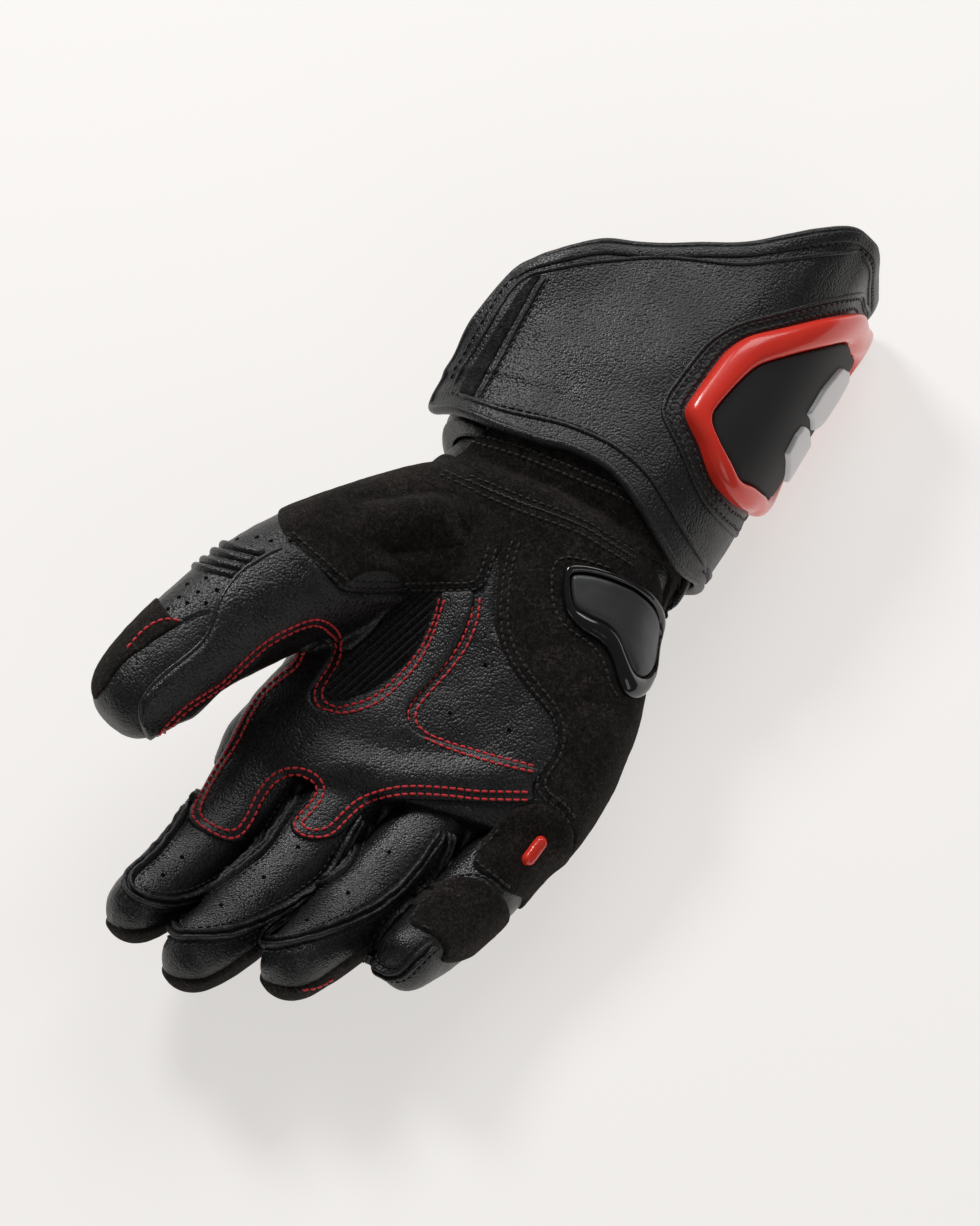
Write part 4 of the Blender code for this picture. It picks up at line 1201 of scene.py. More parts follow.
def make_cuff_slider(face, sewing):
    """The red ring, its black plate, two plain bars and the sewn channel round them."""
    outer = round_loop([cuff_flat(mark) for mark in SLIDER_RING], 0.8)
    plate = round_loop([cuff_flat(mark) for mark in SLIDER_PLATE], 0.8)
    rim(
        "cuff_slider_rim", outer, plate, cuff_lift, RING_PROFILE, RED_PLASTIC, "red_plastic",
        "cuff_slider_frame",
    )
    pad(
        "cuff_slider_plate", plate, cuff_lift, 1.2, 3.3, 1.1, BLACK_PLASTIC, "black_plastic",
        "cuff_slider_insert", 0.5,
    )
    for k, corners in enumerate(BARS):
        corners = [cuff_flat(mark) for mark in corners]
        loop = []
        for j, corner in enumerate(corners):
            loop += [corner.lerp(corners[(j + 1) % len(corners)], share) for share in (0.08, 0.5, 0.92)]
        pad(
            f"pale_bar_{k + 1}", round_loop(loop, 0.5, 0.4), cuff_lift, 3.0, 5.0, 0.5, SILVER_PLASTIC,
            "silver_plastic", f"slider_bar_{k + 1}", pitch=1.0,
        )

    def ring_line(distance):
        return [face.nearest(cuff_lift(point, 0.0)) for point in outset_loop(outer, distance)]

    for name, distance, profile, scale, material in (
        ("slider_channel", 2.35, CHANNEL, 0.64, SEAM_LEATHER),
        ("slider_welt", 4.75, THIN_WELT, 0.85, LEATHER),
    ):
        places = even_points([place for place, _ in ring_line(distance)], PATH_STEP * MM, closed=True)
        path = [face.nearest(place) for place in places]
        strip(name, path + path[:1], profile, material, taper=0, scale=scale)
    for distance in (1.35, 3.55):
        path = ring_line(distance)
        sewing.row(face, path + path[:1], pitch=2.6, length=2.1, radius=0.42)


CHANNEL = (
    (-3.5, -0.3), (-3.3, 0.12), (-2.0, 0.28), (-0.6, 0.10), (0.6, 0.10), (2.0, 0.28), (3.3, 0.12),
    (3.5, -0.3),
)


def moved_loop(loop, distance):
    """Each point of a loop moved inwards, square to the loop."""
    count = len(loop)
    turn = 1 if sum(loop[k - 1].cross(loop[k]) for k in range(count)) > 0 else -1
    moved = []
    for k, point in enumerate(loop):
        way = (loop[(k + 1) % count] - loop[k - 1]).normalized()
        moved.append(point + Vector((-way.y, way.x)) * turn * distance)
    return moved


def outset_loop(loop, distance):
    """The loop moved outwards, evened so that its corners stay round."""
    return even_points(moved_loop(loop, -distance), 1.0, closed=True)


# Pieces laid on the form

BOUNDARY_STEP = 0.8
PATH_STEP = 0.9
EDGE_SINK = 0.35


class View:
    """A parallel view of a surface: a plane in millimetres, seen from a chosen direction."""

    def __init__(self, surface, direction):
        self.surface = surface
        self.back = Vector(direction).normalized()
        self.right = Vector((0, 0, 1)).cross(self.back).normalized()
        self.upward = self.back.cross(self.right)

    def of(self, mark):
        """The plane's point of a pixel, or of a place in millimetres where three numbers are given."""
        point = self.surface.seen(mark)[0] if len(mark) == 2 else Vector(mark) * MM
        return Vector((point.dot(self.right), point.dot(self.upward))) / MM

    def place(self, flat):
        start = self.right * (flat[0] * MM) + self.upward * (flat[1] * MM) + self.back * 0.6
        place, _, face, _ = self.surface.tree.ray_cast(start, -self.back)
        if place is None:
            probe = start - self.back * 0.57
            for _ in range(5):
                place, _, face, _ = self.surface.tree.find_nearest(probe)
                probe = start - self.back * (start - place).dot(self.back)
        return place, self.surface.normal_at(place, face)

    def raised(self, flat, height):
        """A place over the surface, at a height in metres."""
        place, normal = self.place(flat)
        return place + normal * height


def inside(point, polygon):
    x, y = point
    within = False
    for k in range(len(polygon)):
        (ax, ay), (bx, by) = polygon[k - 1], polygon[k]
        if (ay > y) != (by > y) and x < (bx - ax) * (y - ay) / (by - ay) + ax:
            within = not within
    return within


def inset_loop(loop, distance):
    """The loop moved inwards, without the points that its corners push too near the edge."""
    tree = near_tree(loop)
    return [point for point in moved_loop(loop, distance) if tree.find((*point, 0))[2] > distance * 0.93]


def filled(loop, pitch, insets):
    """Triangles inside a closed loop, with rows of points along its edge for a rounded rim."""
    points = list(loop)
    for distance in insets:
        points += inset_loop(loop, distance)
    tree = near_tree(loop)
    border = [tuple(p) for p in loop]
    low = [min(p[k] for p in border) for k in (0, 1)]
    high = [max(p[k] for p in border) for k in (0, 1)]
    rows = int((high[1] - low[1]) / (pitch * 0.87)) + 1
    for row in range(rows + 1):
        y = low[1] + row * pitch * 0.87
        x = low[0] + (row % 2) * pitch / 2
        while x < high[0]:
            if tree.find((x, y, 0))[2] > insets[-1] + pitch * 0.55 and inside((x, y), border):
                points.append(Vector((x, y)))
            x += pitch
    edges = [(k, (k + 1) % len(loop)) for k in range(len(loop))]
    found = geometry.delaunay_2d_cdt([Vector(point[:2]) for point in points], edges, [], 1, 1e-6)
    return found[0], found[2]


def rounded(distance, thickness, radius):
    """The height of a patch at a distance from its edge, in millimetres, with a quarter-round rim."""
    share = 1 - min(max(distance / radius, 0), 1)
    return -EDGE_SINK + (thickness + EDGE_SINK) * math.sqrt(max(1 - share**2, 0))


def panel(name, view, outline, thickness, radius, material, slot, node=None, relief=None, pitch=1.25):
    """A patch over the form inside an outline of pixels and places, thickness and radius in millimetres."""
    loop = round_loop([view.of(mark) for mark in outline], BOUNDARY_STEP)
    flats, faces = filled(loop, pitch, (radius * 0.25, radius * 0.6, radius * 1.1))
    placed = [view.place(flat) for flat in flats]
    edge = []
    for k, point in enumerate(loop):
        edge += [view.place(point)[0], view.place((point + loop[k - 1]) / 2)[0]]
    tree = near_tree(edge)
    vertices = []
    for place, normal in placed:
        distance = tree.find(place)[2] / MM
        height = rounded(distance, thickness, radius)
        if relief:
            height += relief(project(place), distance)
        vertices.append(place + normal * height * MM)
    obj = new_object(name, vertices, faces, material)
    turned_up(obj, lambda polygon: placed[polygon.vertices[0]][1])
    return piece(obj, slot, *([node] if node else []))


# Profiles across a strip as (sideways, height) in millimetres
LAPPED_SEAM = (
    (-1.70, -0.6), (-1.62, 0.5), (-1.60, 1.2), (-1.42, 1.75), (-1.05, 1.95), (-0.62, 1.80), (-0.30, 1.25),
    (0.0, 0.45), (0.30, 1.25), (0.62, 1.80), (1.05, 1.95), (1.42, 1.75), (1.60, 1.2), (1.62, 0.5),
    (1.70, -0.6),
)
SOFT_RIDGE = (
    (-2.2, -0.4), (-1.9, 0.05), (-1.4, 0.40), (-0.8, 0.85), (-0.3, 1.15), (0.15, 1.25), (0.6, 1.05),
    (0.95, 0.55), (1.15, 0.0), (1.2, -0.5),
)
RIB = (
    (-1.7, -0.4), (-1.5, 0.05), (-1.15, 0.55), (-0.65, 0.98), (0.0, 1.15), (0.65, 0.98), (1.15, 0.55),
    (1.5, 0.05), (1.7, -0.4),
)
THIN_WELT = (
    (-0.80, -0.4), (-0.80, 0.2), (-0.62, 0.55), (-0.30, 0.75), (0.0, 0.80), (0.30, 0.75), (0.62, 0.55),
    (0.80, 0.2), (0.80, -0.4),
)
BINDING = (
    (-2.6, -0.5), (-2.6, 0.35), (-2.35, 0.80), (-1.6, 1.0), (0.0, 1.05), (1.6, 1.0), (2.35, 0.80),
    (2.6, 0.35), (2.6, -0.5),
)


def path_on(surface, marks, step=PATH_STEP, calm=2):
    """Even places with normals along pixels on a surface, step in millimetres, smoothed calm times."""
    pixels = even_points(curve_points(marks, 3.0), 3.0)
    places = even_points([surface.seen(pixel)[0] for pixel in pixels], step * MM)
    for _ in range(calm):
        before, after = places[:1] + places[:-1], places[1:] + places[-1:]
        places = [(a + b * 2 + c) / 4 for a, b, c in zip(before, places, after)]
    return [surface.nearest(place) for place in places]


def ring_path(surface, first, second, centre, degrees):
    """Places round a finger from one pixel through another and on past its outline."""
    start, through = surface.seen(first)[0], surface.seen(second)[0]
    across = (through - start).cross(BACK).normalized()
    middle = centre - across * (centre - start).dot(across)
    opening = (start - middle).normalized()
    turning = across.cross(opening)
    if turning.dot(through - start) < 0:
        turning = -turning
    path = []
    for angle in evenly(0, math.radians(degrees), 60):
        way = opening * math.cos(angle) + turning * math.sin(angle)
        place, _, face, _ = surface.tree.ray_cast(middle + way * 0.08, -way)
        if place is not None:
            path.append((place, surface.normal_at(place, face)))
    return path


def frames_of(path):
    """Each place with its direction, sideways and normal, the normals evened out along the path."""
    frames = []
    count = len(path)
    for k in range(count):
        place = path[k][0]
        way = (path[min(k + 1, count - 1)][0] - path[max(k - 1, 0)][0]).normalized()
        normal = sum((path[min(max(k + j, 0), count - 1)][1] for j in (-2, -1, 0, 1, 2)), Vector((0, 0, 0)))
        normal = (normal - way * normal.dot(way)).normalized()
        frames.append((place, way, normal.cross(way).normalized(), normal))
    return frames


def strip(name, path, profile, material, taper=4, scale=1.0, ruffle=0.0):
    """A profile swept along a path on a form, sinking in at both ends. ruffle makes its cut edges uneven."""
    frames = frames_of(path)
    points, count = [], len(frames)
    for k, (place, way, side, normal) in enumerate(frames):
        lift = math.sqrt(min(min(k, count - 1 - k) / taper, 1.0)) if taper else 1.0
        for across, height in profile:
            lip = Vector((k * 0.21, 3.0 if across < 0 else 9.0, len(name)))
            uneven = 1 + ruffle * noise.noise(lip)
            aside = across + ruffle * 0.8 * noise.noise(lip * 0.7 + Vector((4, 1, 2)))
            raised = height * uneven * lift - 0.6 * (1 - lift)
            points.append(place + (side * aside + normal * raised) * scale * MM)
    width = len(profile)
    obj = new_object(name, points, grid_faces(count, width), material)
    return piece(turned_up(obj, lambda polygon: frames[polygon.vertices[0] // width][3]), "leather")


STITCH_SIDES = 6
STITCH_RINGS = (
    (-1.0, 0.30, -0.22), (-0.80, 0.85, -0.04), (-0.3, 1.0, 0.10), (0.3, 1.0, 0.10), (0.80, 0.85, -0.04),
    (1.0, 0.30, -0.22),
)
STITCH_LENGTH = 1.9
STITCH_PITCH = 2.3
STITCH_RADIUS = 0.37


STITCH_LIFT = 0.12
STITCH_REACH = 0.004


class Sewing:
    """Collects the stitches of one thread and makes them as one piece. Sizes are in millimetres."""

    def __init__(self, name, material):
        self.name, self.material = name, material
        self.vertices, self.faces = [], []

    def stitch(self, place, way, normal, length, radius):
        side = normal.cross(way).normalized()
        first = len(self.vertices)
        for along, girth, lift in STITCH_RINGS:
            centre = place + (way * along * length / 2 + normal * (lift + STITCH_LIFT)) * MM
            for k in range(STITCH_SIDES):
                angle = 2 * math.pi * k / STITCH_SIDES
                around = side * math.cos(angle) + normal * math.sin(angle)
                self.vertices.append(centre + around * radius * girth * MM)
        self.faces += grid_faces(len(STITCH_RINGS), STITCH_SIDES, first, closed=True)
        self.faces += end_caps(len(STITCH_RINGS), STITCH_SIDES, first)

    def row(self, surface, path, aside=0.0, pitch=STITCH_PITCH, length=STITCH_LENGTH, radius=STITCH_RADIUS):
        """A row along a path, moved aside, each stitch seated on the surface."""
        moved = [place + side * aside * MM for place, _, side, _ in frames_of(path)]
        moved = even_points(moved, pitch * MM)
        for first, second in zip(moved, moved[1:]):
            middle = (first + second) / 2
            seat, normal = surface.nearest(middle)
            way = second - first
            if way.length < 1e-6 or (seat - middle).length > STITCH_REACH:
                continue
            way = (way - normal * way.dot(normal)).normalized()
            tilt = RANDOM.uniform(-0.05, 0.05)
            way = (way + normal.cross(way) * tilt).normalized()
            self.stitch(seat, way, normal, length * RANDOM.uniform(0.93, 1.05), radius)

    def double(self, surface, path, gap=2.2):
        self.row(surface, path, -gap / 2)
        self.row(surface, path, gap / 2)

    def make(self):
        piece(new_object(self.name, self.vertices, self.faces, self.material), "leather")


# A punched hole as rings of (share of its radius, height in millimetres)
HOLE_RINGS = ((1.12, -0.01), (1.0, 0.10), (0.85, 0.11), (0.5, 0.10), (0.0, 0.09))
HOLE_SIDES = 12
HOLE_RADIUS = 0.62


def make_holes(surface, pixels):
    """Small punched holes, each a dark dish in the leather."""
    vertices, faces = [], []
    for pixel in pixels:
        place, normal = surface.seen(pixel)
        across = normal.orthogonal().normalized()
        upward = normal.cross(across)
        faces += grid_faces(len(HOLE_RINGS), HOLE_SIDES, len(vertices), closed=True)
        for girth, lift in HOLE_RINGS:
            for k in range(HOLE_SIDES):
                angle = 2 * math.pi * k / HOLE_SIDES
                around = across * math.cos(angle) + upward * math.sin(angle)
                vertices.append(place + (around * HOLE_RADIUS * girth + normal * lift) * MM)
    piece(new_object("punched_holes", vertices, faces, HOLE), "leather")


def union_surface(objects):
    """One surface of several finished pieces, to seat seams and stitches on what shows."""
    shared = joined("seen_surface", objects, keep=True)
    surface = Surface(shared)
    bpy.data.objects.remove(shared)
    return surface


# Outlines traced in the picture's pixels. Three numbers are a hidden place in millimetres.
THENAR = (
    (280, 527), (292, 544), (312, 564), (331, 580), (346, 589), (401, 591), (446, 592), (471, 591),
    (484, 587), (491, 568), (502, 548), (511, 520), (517, 489), (486, 473), (463, 461), (444, 456),
)
THENAR_ROUND = (
    ((438, 485), (424, 462)), ((405, 490), (388, 464)), ((370, 495), (352, 473)), ((335, 505), (317, 488)),
    ((303, 525), (286, 508)),
)
HAND_CORE = 0.022
HEEL = (
    (508, 487), (504, 520), (501, 547), (497, 590), (495, 630), (509, 665), (530, 694), (549, 716),
    (556, 737), (551, 756), (538, 772), (534, 788), (541, 799), (554, 807), (566, 820), (573, 834),
    (49, 6, 15), (49, 22, 13), (46, 42, 12), (33, 62, 10), (22, 78, 12),
    (643, 548), (599, 524), (558, 505), (534, 496),
)
OVERLAY = (
    (474, 592), (471, 616), (460, 642), (446, 665), (428, 686), (411, 706), (409, 719), (420, 733),
    (458, 745), (500, 757), (539, 769), (534, 786), (532, 801), (496, 803), (441, 802), (400, 801),
    (370, 808), (354, 822), (343, 833), (330, 839), (303, 839), (291, 831), (292, 820), (306, 806),
    (316, 792), (310, 780), (294, 775), (275, 786), (261, 807), (249, 833), (236, 844), (213, 837),
    (193, 827), (189, 813), (205, 785), (229, 742), (250, 704), (268, 683), (285, 665), (305, 646),
    (331, 638), (335, 655), (322, 678), (312, 694), (317, 707), (336, 709), (376, 693), (404, 669),
    (424, 644), (437, 615), (441, 593), (457, 591),
)
KNIT = (
    (408, 590), (390, 616), (370, 638), (348, 655), (336, 668), (324, 690), (330, 699), (348, 699),
    (376, 686), (403, 665), (421, 641), (432, 615), (437, 593), (424, 588),
)
LITTLE_BASE = (
    (472, 863), (480, 846), (488, 834), (499, 819), (511, 809), (528, 804), (546, 805), (563, 818),
    (572, 834), (49, 4, 14), (47, -6, 12), (45, -13, 13),
    (522, 899), (508, 893), (496, 882), (478, 872),
)
LITTLE_TIP = (
    (409, 918), (416, 906), (430, 890), (444, 881), (463, 877), (481, 880), (495, 889), (506, 902),
    (44, -20, 13), (43, -32, 15), (41, -38, 18),
    (441, 962), (444, 950), (436, 939), (423, 932), (411, 926),
)
PALM_RING = (
    (562, 580), (566, 567), (585, 566), (612, 573), (634, 582), (652, 599), (657, 622), (656, 650),
    (651, 677), (638, 697), (625, 696), (617, 682), (609, 657), (599, 643), (579, 630), (565, 613),
    (561, 595),
)
PALM_INSERT = (
    (569, 587), (572, 576), (590, 576), (614, 583), (633, 592), (649, 608), (653, 628), (649, 660),
    (641, 678), (630, 675), (622, 658), (615, 639), (604, 627), (586, 618), (573, 608),
)
PALM_RING_PROFILE = (
    (0.0, -0.5), (0.02, 1.2), (0.10, 2.1), (0.28, 2.9), (0.50, 3.25), (0.74, 3.1), (0.92, 2.7), (1.0, 2.0),
    (1.04, 1.0),
)

# Lines of paired stitches
RED_PAIRS = (
    (
        (160, 735), (187, 708), (222, 685), (246, 662), (268, 643), (294, 629), (316, 622), (332, 630),
        (339, 646), (332, 668), (319, 688), (319, 702), (330, 709), (348, 709), (375, 700), (401, 678),
        (420, 654), (434, 625), (442, 597),
    ),
    (
        (476, 596), (474, 619), (463, 646), (447, 668), (428, 689), (413, 708), (412, 722), (420, 733),
        (455, 747), (498, 760), (536, 769),
    ),
    (
        (300, 652), (296, 665), (283, 675), (263, 693), (248, 716), (234, 743), (219, 767), (204, 793),
        (196, 815), (213, 829), (233, 835), (246, 824), (259, 798), (271, 781), (287, 772), (305, 773),
        (318, 781), (321, 792), (311, 808), (298, 821), (300, 830), (317, 834), (331, 830), (345, 816),
        (361, 802), (386, 793), (412, 790), (450, 792), (478, 795), (530, 796),
    ),
)
THENAR_PAIRS = (
    ((288, 533), (302, 546), (318, 560), (333, 573), (348, 584), (372, 586), (401, 586), (446, 587),
     (474, 586), (483, 577), (488, 562), (493, 546)),
)
BLACK_PAIRS = (
    ((517, 540), (513, 550), (508, 572), (505, 600), (505, 628), (514, 656), (535, 686), (555, 712),
     (561, 736), (555, 758), (543, 774), (541, 788), (549, 798), (561, 806), (573, 822)),
    ((467, 477), (502, 492), (527, 502), (555, 512), (584, 524), (604, 536), (636, 556)),
)
LITTLE_ROWS = (
    ((497, 826), (485, 841), (474, 855), (474, 864), (486, 873), (497, 881), (509, 891)),
    ((509, 809), (527, 804), (546, 805), (563, 818), (572, 832)),
    ((442, 882), (457, 877), (478, 878), (493, 887), (504, 898)),
    ((430, 893), (418, 906), (410, 919), (413, 926), (425, 932), (436, 939), (443, 949)),
)

SLIDER_ROW = (
    (612, 569), (588, 561), (566, 557), (555, 563), (552, 580), (553, 602), (563, 624), (590, 644),
    (603, 660), (609, 682), (618, 698),
)

# Raised seams round the fingers and the thumb
FINGER_SEAMS = (
    ((198, 794), (182, 819), (164, 843), (147, 861), (131, 875), (128, 886), (137, 896), (157, 902),
     (182, 900), (208, 888), (233, 872), (254, 854), (269, 829), (284, 806), (297, 790)),
    ((302, 795), (279, 829), (259, 854), (223, 882), (192, 910), (176, 925), (178, 936), (198, 936),
     (225, 933), (259, 921), (292, 903), (317, 885), (330, 870), (345, 844), (358, 821), (366, 815)),
    ((373, 818), (361, 844), (345, 870), (317, 890), (284, 913), (261, 930), (260, 941), (281, 944),
     (310, 936), (345, 923), (381, 903), (409, 877), (432, 847), (445, 828)),
    ((453, 828), (446, 850), (434, 875), (415, 897), (393, 917), (378, 938), (374, 955), (380, 969),
     (393, 976), (405, 971), (422, 952), (437, 940)),
)
# Thumb: the raised palm-side leather, the suede at its tip, and the ribs of its outer side
THUMB_LEATHER = (
    (288, 543), (270, 553), (252, 563), (240, 573), (225, 591), (217, 607), (211, 626), (203, 641),
    (190, 654), (166, 673), (147, 691), (138, 706), (139, 721), (147, 737), (160, 739), (176, 727),
    (192, 713), (226, 690), (250, 667), (271, 649), (297, 635), (318, 628), (333, 635), (340, 650),
    (350, 652), (369, 638), (389, 615), (404, 599), (404, 593), (350, 591), (331, 579), (310, 556),
)
THUMB_EDGE = (
    (285, 546), (272, 552), (255, 562), (241, 572), (227, 589), (218, 607), (211, 627), (202, 642),
    (188, 655), (166, 672), (150, 688), (141, 703), (141, 718), (146, 731),
)
THUMB_TIP_TOP = ((184, 621), (172, 617))
THUMB_TIP_ROUND = (
    ((176, 634), (163, 614)), ((160, 648), (144, 628)), ((146, 664), (124, 650)), ((136, 680), (107, 676)),
    ((134, 700), (98, 700)),
)
THUMB_TIP_LOW = ((104, 690), (110, 681), (119, 669), (131, 657), (146, 647), (165, 634))
THUMB_TIP_ROW = ((181, 622), (172, 619), (161, 620), (149, 626), (137, 637), (126, 650))
THUMB_TIP_SEAM = ((181, 621), (190, 616), (199, 612), (212, 609))
THUMB_RIBS = (
    ((266, 554), (236, 547)),
    ((257, 562), (226, 554)),
    ((249, 569), (216, 562)),
    ((240, 576), (209, 569)),
)
RING_TIP_ROW = ((300, 990), (318, 987), (334, 978))

# Suede over the wrist's palm side, the strap beside it and their stitches
WRIST = (
    (430, 470), (438, 464), (461, 468), (484, 480), (506, 494), (555, 513), (596, 532), (640, 556),
    (668, 573), (20, 78, 22), (22, 88, 24), (18, 96, 34), (8, 101, 48), (-8, 102, 56), (-25, 102, 58),
    (-38, 104, 57), (503, 415), (489, 426), (476, 440), (461, 455), (446, 464),
)
WRIST_PAIRS = (
    ((474, 438), (514, 449), (548, 462), (586, 478), (622, 493), (648, 510)),
    ((440, 472), (467, 484), (502, 499), (527, 509), (555, 519), (584, 531), (604, 543), (636, 563)),
)
STRAP_ALONGS = (-0.105, 0.060)
STRAP_BULGE = 0.0042
STRAP_WALL = 0.0022
STRAP_DEGREES = (131, 345)

PALM_HOLES = ((485, 665), (450, 713), (509, 730))
FINGER_HOLES = (
    (182, 857), (163, 875), (298, 847), (264, 877), (221, 905), (389, 852), (348, 893), (307, 920),
    (398, 916),
)
THUMB_HOLES = (
    (257, 537), (237, 539), (271, 541), (251, 547), (187, 584), (198, 592), (206, 578), (217, 590),
    (179, 597), (187, 603), (206, 603), (168, 609),
)


def rib_relief(direction, pitch, height):
    """Ribs in the plane of the picture: their direction, pitch in pixels and height in millimetres."""
    across = Vector((-direction[1], direction[0])).normalized()

    def relief(pixel, distance):
        return height * math.cos(2 * math.pi * pixel.dot(across) / pitch) * min(distance, 1)
    return relief


def hidden_marks(surface, pairs, centre_of, degrees):
    """Places past the outline, in millimetres, each round a core through a pair of pixels."""
    marks = []
    for first, second in pairs:
        centre = centre_of(surface.seen(first)[0])
        marks.append(tuple(ring_path(surface, first, second, centre, degrees)[-1][0] / MM))
    return tuple(marks)


def make_palm_panels(support):
    front = View(support, BACK)
    inner, outer = View(support, (-0.48, -0.18, 0.84)), View(support, (0.66, -0.05, 0.75))
    unseen = hidden_marks(support, THENAR_ROUND, lambda place: place - BACK * HAND_CORE, 112)
    ribs = rib_relief((-90, 80), 6.6, 0.70)
    return [
        panel("thenar_suede", inner, THENAR + unseen, 1.05, 1.1, SUEDE, "suede", "thenar_patch"),
        panel("heel_suede", outer, HEEL, 0.95, 1.2, SUEDE, "suede", "heel_patch"),
        panel(
            "overlay_leather", front, OVERLAY, 1.15, 1.2, SMOOTH_LEATHER, "leather", "palm_overlay", pitch=1.1,
        ),
        panel("knit_ribs", front, KNIT, 0.75, 0.7, KNIT_CLOTH, "knit", "knit_panel", ribs, 0.40),
        panel(
            "little_base_suede", outer, LITTLE_BASE, 1.15, 1.2, SUEDE, "suede", "little_base_patch", pitch=0.9,
        ),
        panel(
            "little_tip_suede", outer, LITTLE_TIP, 1.15, 1.2, SUEDE, "suede", "little_tip_patch", pitch=0.9,
        ),
    ]


def shell_patch(name, source, field, thickness, radius, node):
    """Suede over the part of a form where a field in millimetres is above zero, with a rounded edge."""
    points, normals = coordinates(source), vertex_normals(source)
    values = [field(Vector(point)) for point in points]
    keep, index = [], {}
    for polygon in source.data.polygons:
        corners = tuple(polygon.vertices)
        if max(values[corner] for corner in corners) > -0.4:
            keep.append(corners)
            for corner in corners:
                index.setdefault(corner, len(index))
    vertices = []
    for corner in index:
        height = rounded(values[corner], thickness, radius)
        if values[corner] < 0:
            height = -EDGE_SINK + max(values[corner], -0.6)
        vertices.append(points[corner] + normals[corner] * height * MM)
    faces = [tuple(index[corner] for corner in corners) for corners in keep]
    obj = new_object(name, vertices, faces, SUEDE)
    obj.modifiers.new("finer", "SUBSURF").levels = 1
    return piece(apply_modifiers(obj), "suede", node)


TIP_PAD_RISE = 0.0075


def make_tip_pads(stalls):
    """Suede over the back and end of three fingertips."""
    way = (-UPWARD * 0.88 - BACK * 0.42 + RIGHT * 0.10).normalized()
    pads = []
    for stall, finger in zip(stalls[:3], FINGERS):
        points = coordinates(stall)
        start = Vector(points[np.argmax(points @ np.array(-UPWARD))]) + UPWARD * TIP_PAD_RISE
        pads.append(shell_patch(
            finger.name.replace("finger", "tip_suede"), stall, lambda p: (p - start).dot(way) / MM, 1.0, 1.2,
            finger.name.replace("finger", "tip_pad"),
        ))
    return pads


def make_thumb_pieces(support):
    """The palm-side leather of the thumb and the suede at its tip."""
    front, outer = View(support, BACK), View(support, (-0.55, -0.10, 0.82))
    tip = THUMB_TIP_TOP + hidden_marks(support, THUMB_TIP_ROUND, thumb_axis_near, 95) + THUMB_TIP_LOW
    return [
        panel("thumb_leather", front, THUMB_LEATHER, 1.9, 1.7, THUMB_GRAIN, "leather", pitch=1.2),
        panel("thumb_tip_suede", outer, tip, 0.75, 1.0, SUEDE, "suede", pitch=1.0),
    ]


def make_wrist(support):
    """The suede over the wrist and the strap that runs round its back."""
    raised = View(support, (0.25, -0.10, 0.95))
    wrist = panel("wrist_suede", raised, WRIST, 1.35, 1.2, SUEDE, "suede", "wrist_patch", pitch=1.4)

    def band(share, degrees, offset):
        along = STRAP_ALONGS[0] + (STRAP_ALONGS[1] - STRAP_ALONGS[0]) * share
        lift = 0.0006 + offset
        if offset > 0 and 0 < share < 1:
            bulge = STRAP_BULGE * smooth_step(degrees, 125, 150) * (1 - smooth_step(degrees, 200, 240))
            lift += bulge * math.sin(math.pi * share) ** 0.4 + 0.0005 * math.sin(along * 180)
            lift += 0.0003 * noise.noise(Vector((along * 9, degrees / 25, 3)))
        return hand_point(along, degrees, lift)

    turns = evenly(*STRAP_DEGREES, 120)
    strap = sheet_piece("wrist_band", band, evenly(0, 1, 26), turns, STRAP_WALL, LEATHER)
    return [wrist, piece(strap, "leather", "wrist_strap")]


GUARD_SHIFT = 0.0030
GUARD_LENGTH = 0.030
GUARD_WIDTH = 0.090
GUARD_RISE = 0.0130
GUARD_SIDES = 160
GUARD_TRIM_HEIGHT = 0.45
GUARD_TRIM_SHARE = 0.934
# The guard's rings as (share of its height, share of its outline)
GUARD_LEVELS = (
    (0.0, 0.59), (0.0, 0.62), (0.02, 0.67), (0.07, 0.73), (0.14, 0.79), (0.24, 0.85), (0.36, 0.905),
    (0.50, 0.950), (0.64, 0.985), (0.78, 1.0), (0.90, 1.0), (1.0, 0.985),
)


def guard_ring(height, share):
    """The guard's outline at a share of its height, drawn in to a share of its size."""
    half_width, half_length = GUARD_WIDTH * (0.35 + 0.65 * share) / 2, GUARD_LENGTH * share / 2
    ring = []
    for k in range(GUARD_SIDES):
        x, y = superellipse(2 * math.pi * k / GUARD_SIDES, half_width, half_length, 3.2)
        x -= GUARD_SHIFT
        ring.append(Vector((x, y + KNUCKLE_SLANT * x, height * GUARD_RISE)))
    return ring


def make_guard():
    """The hard guard under the knuckles with its red trim."""
    rings = [guard_ring(height, share) for height, share in GUARD_LEVELS]
    piece(loft("knuckle_guard_shell", rings, GLOSS), "gloss_plastic", "knuckle_guard")
    trim = guard_ring(GUARD_TRIM_HEIGHT, GUARD_TRIM_SHARE)
    trim.append(trim[0])
    tube("knuckle_guard_trim", trim, [Vector((0, 0, 1))] * len(trim), 0.5, 0.6, RED_PLASTIC, "red_plastic")


PILL_ENDS = ((527.5, 859), (540.5, 842))
PILL_RADIUS = 1.9
PILL_INSETS = (0.208, 0.5, 0.833)


def make_pill(top):
    """The small red slider by the little finger."""
    outer = View(top, (0.55, -0.25, 0.80))
    first, second = (outer.of(end) for end in PILL_ENDS)
    way = (second - first).normalized() * PILL_RADIUS
    side = Vector((-way.y, way.x))
    loop = []
    for centre, start in ((second, -90), (first, 90)):
        for k in range(9):
            angle = math.radians(start + 22.5 * k)
            loop.append(centre + way * math.cos(angle) + side * math.sin(angle))
    loop = even_points(loop, 0.4, closed=True)
    pad(
        "little_pill", loop, outer.raised, -0.4, 2.2, 1.2, RED_PLASTIC, "red_plastic", "little_slider",
        pitch=0.5, insets=PILL_INSETS,
    )


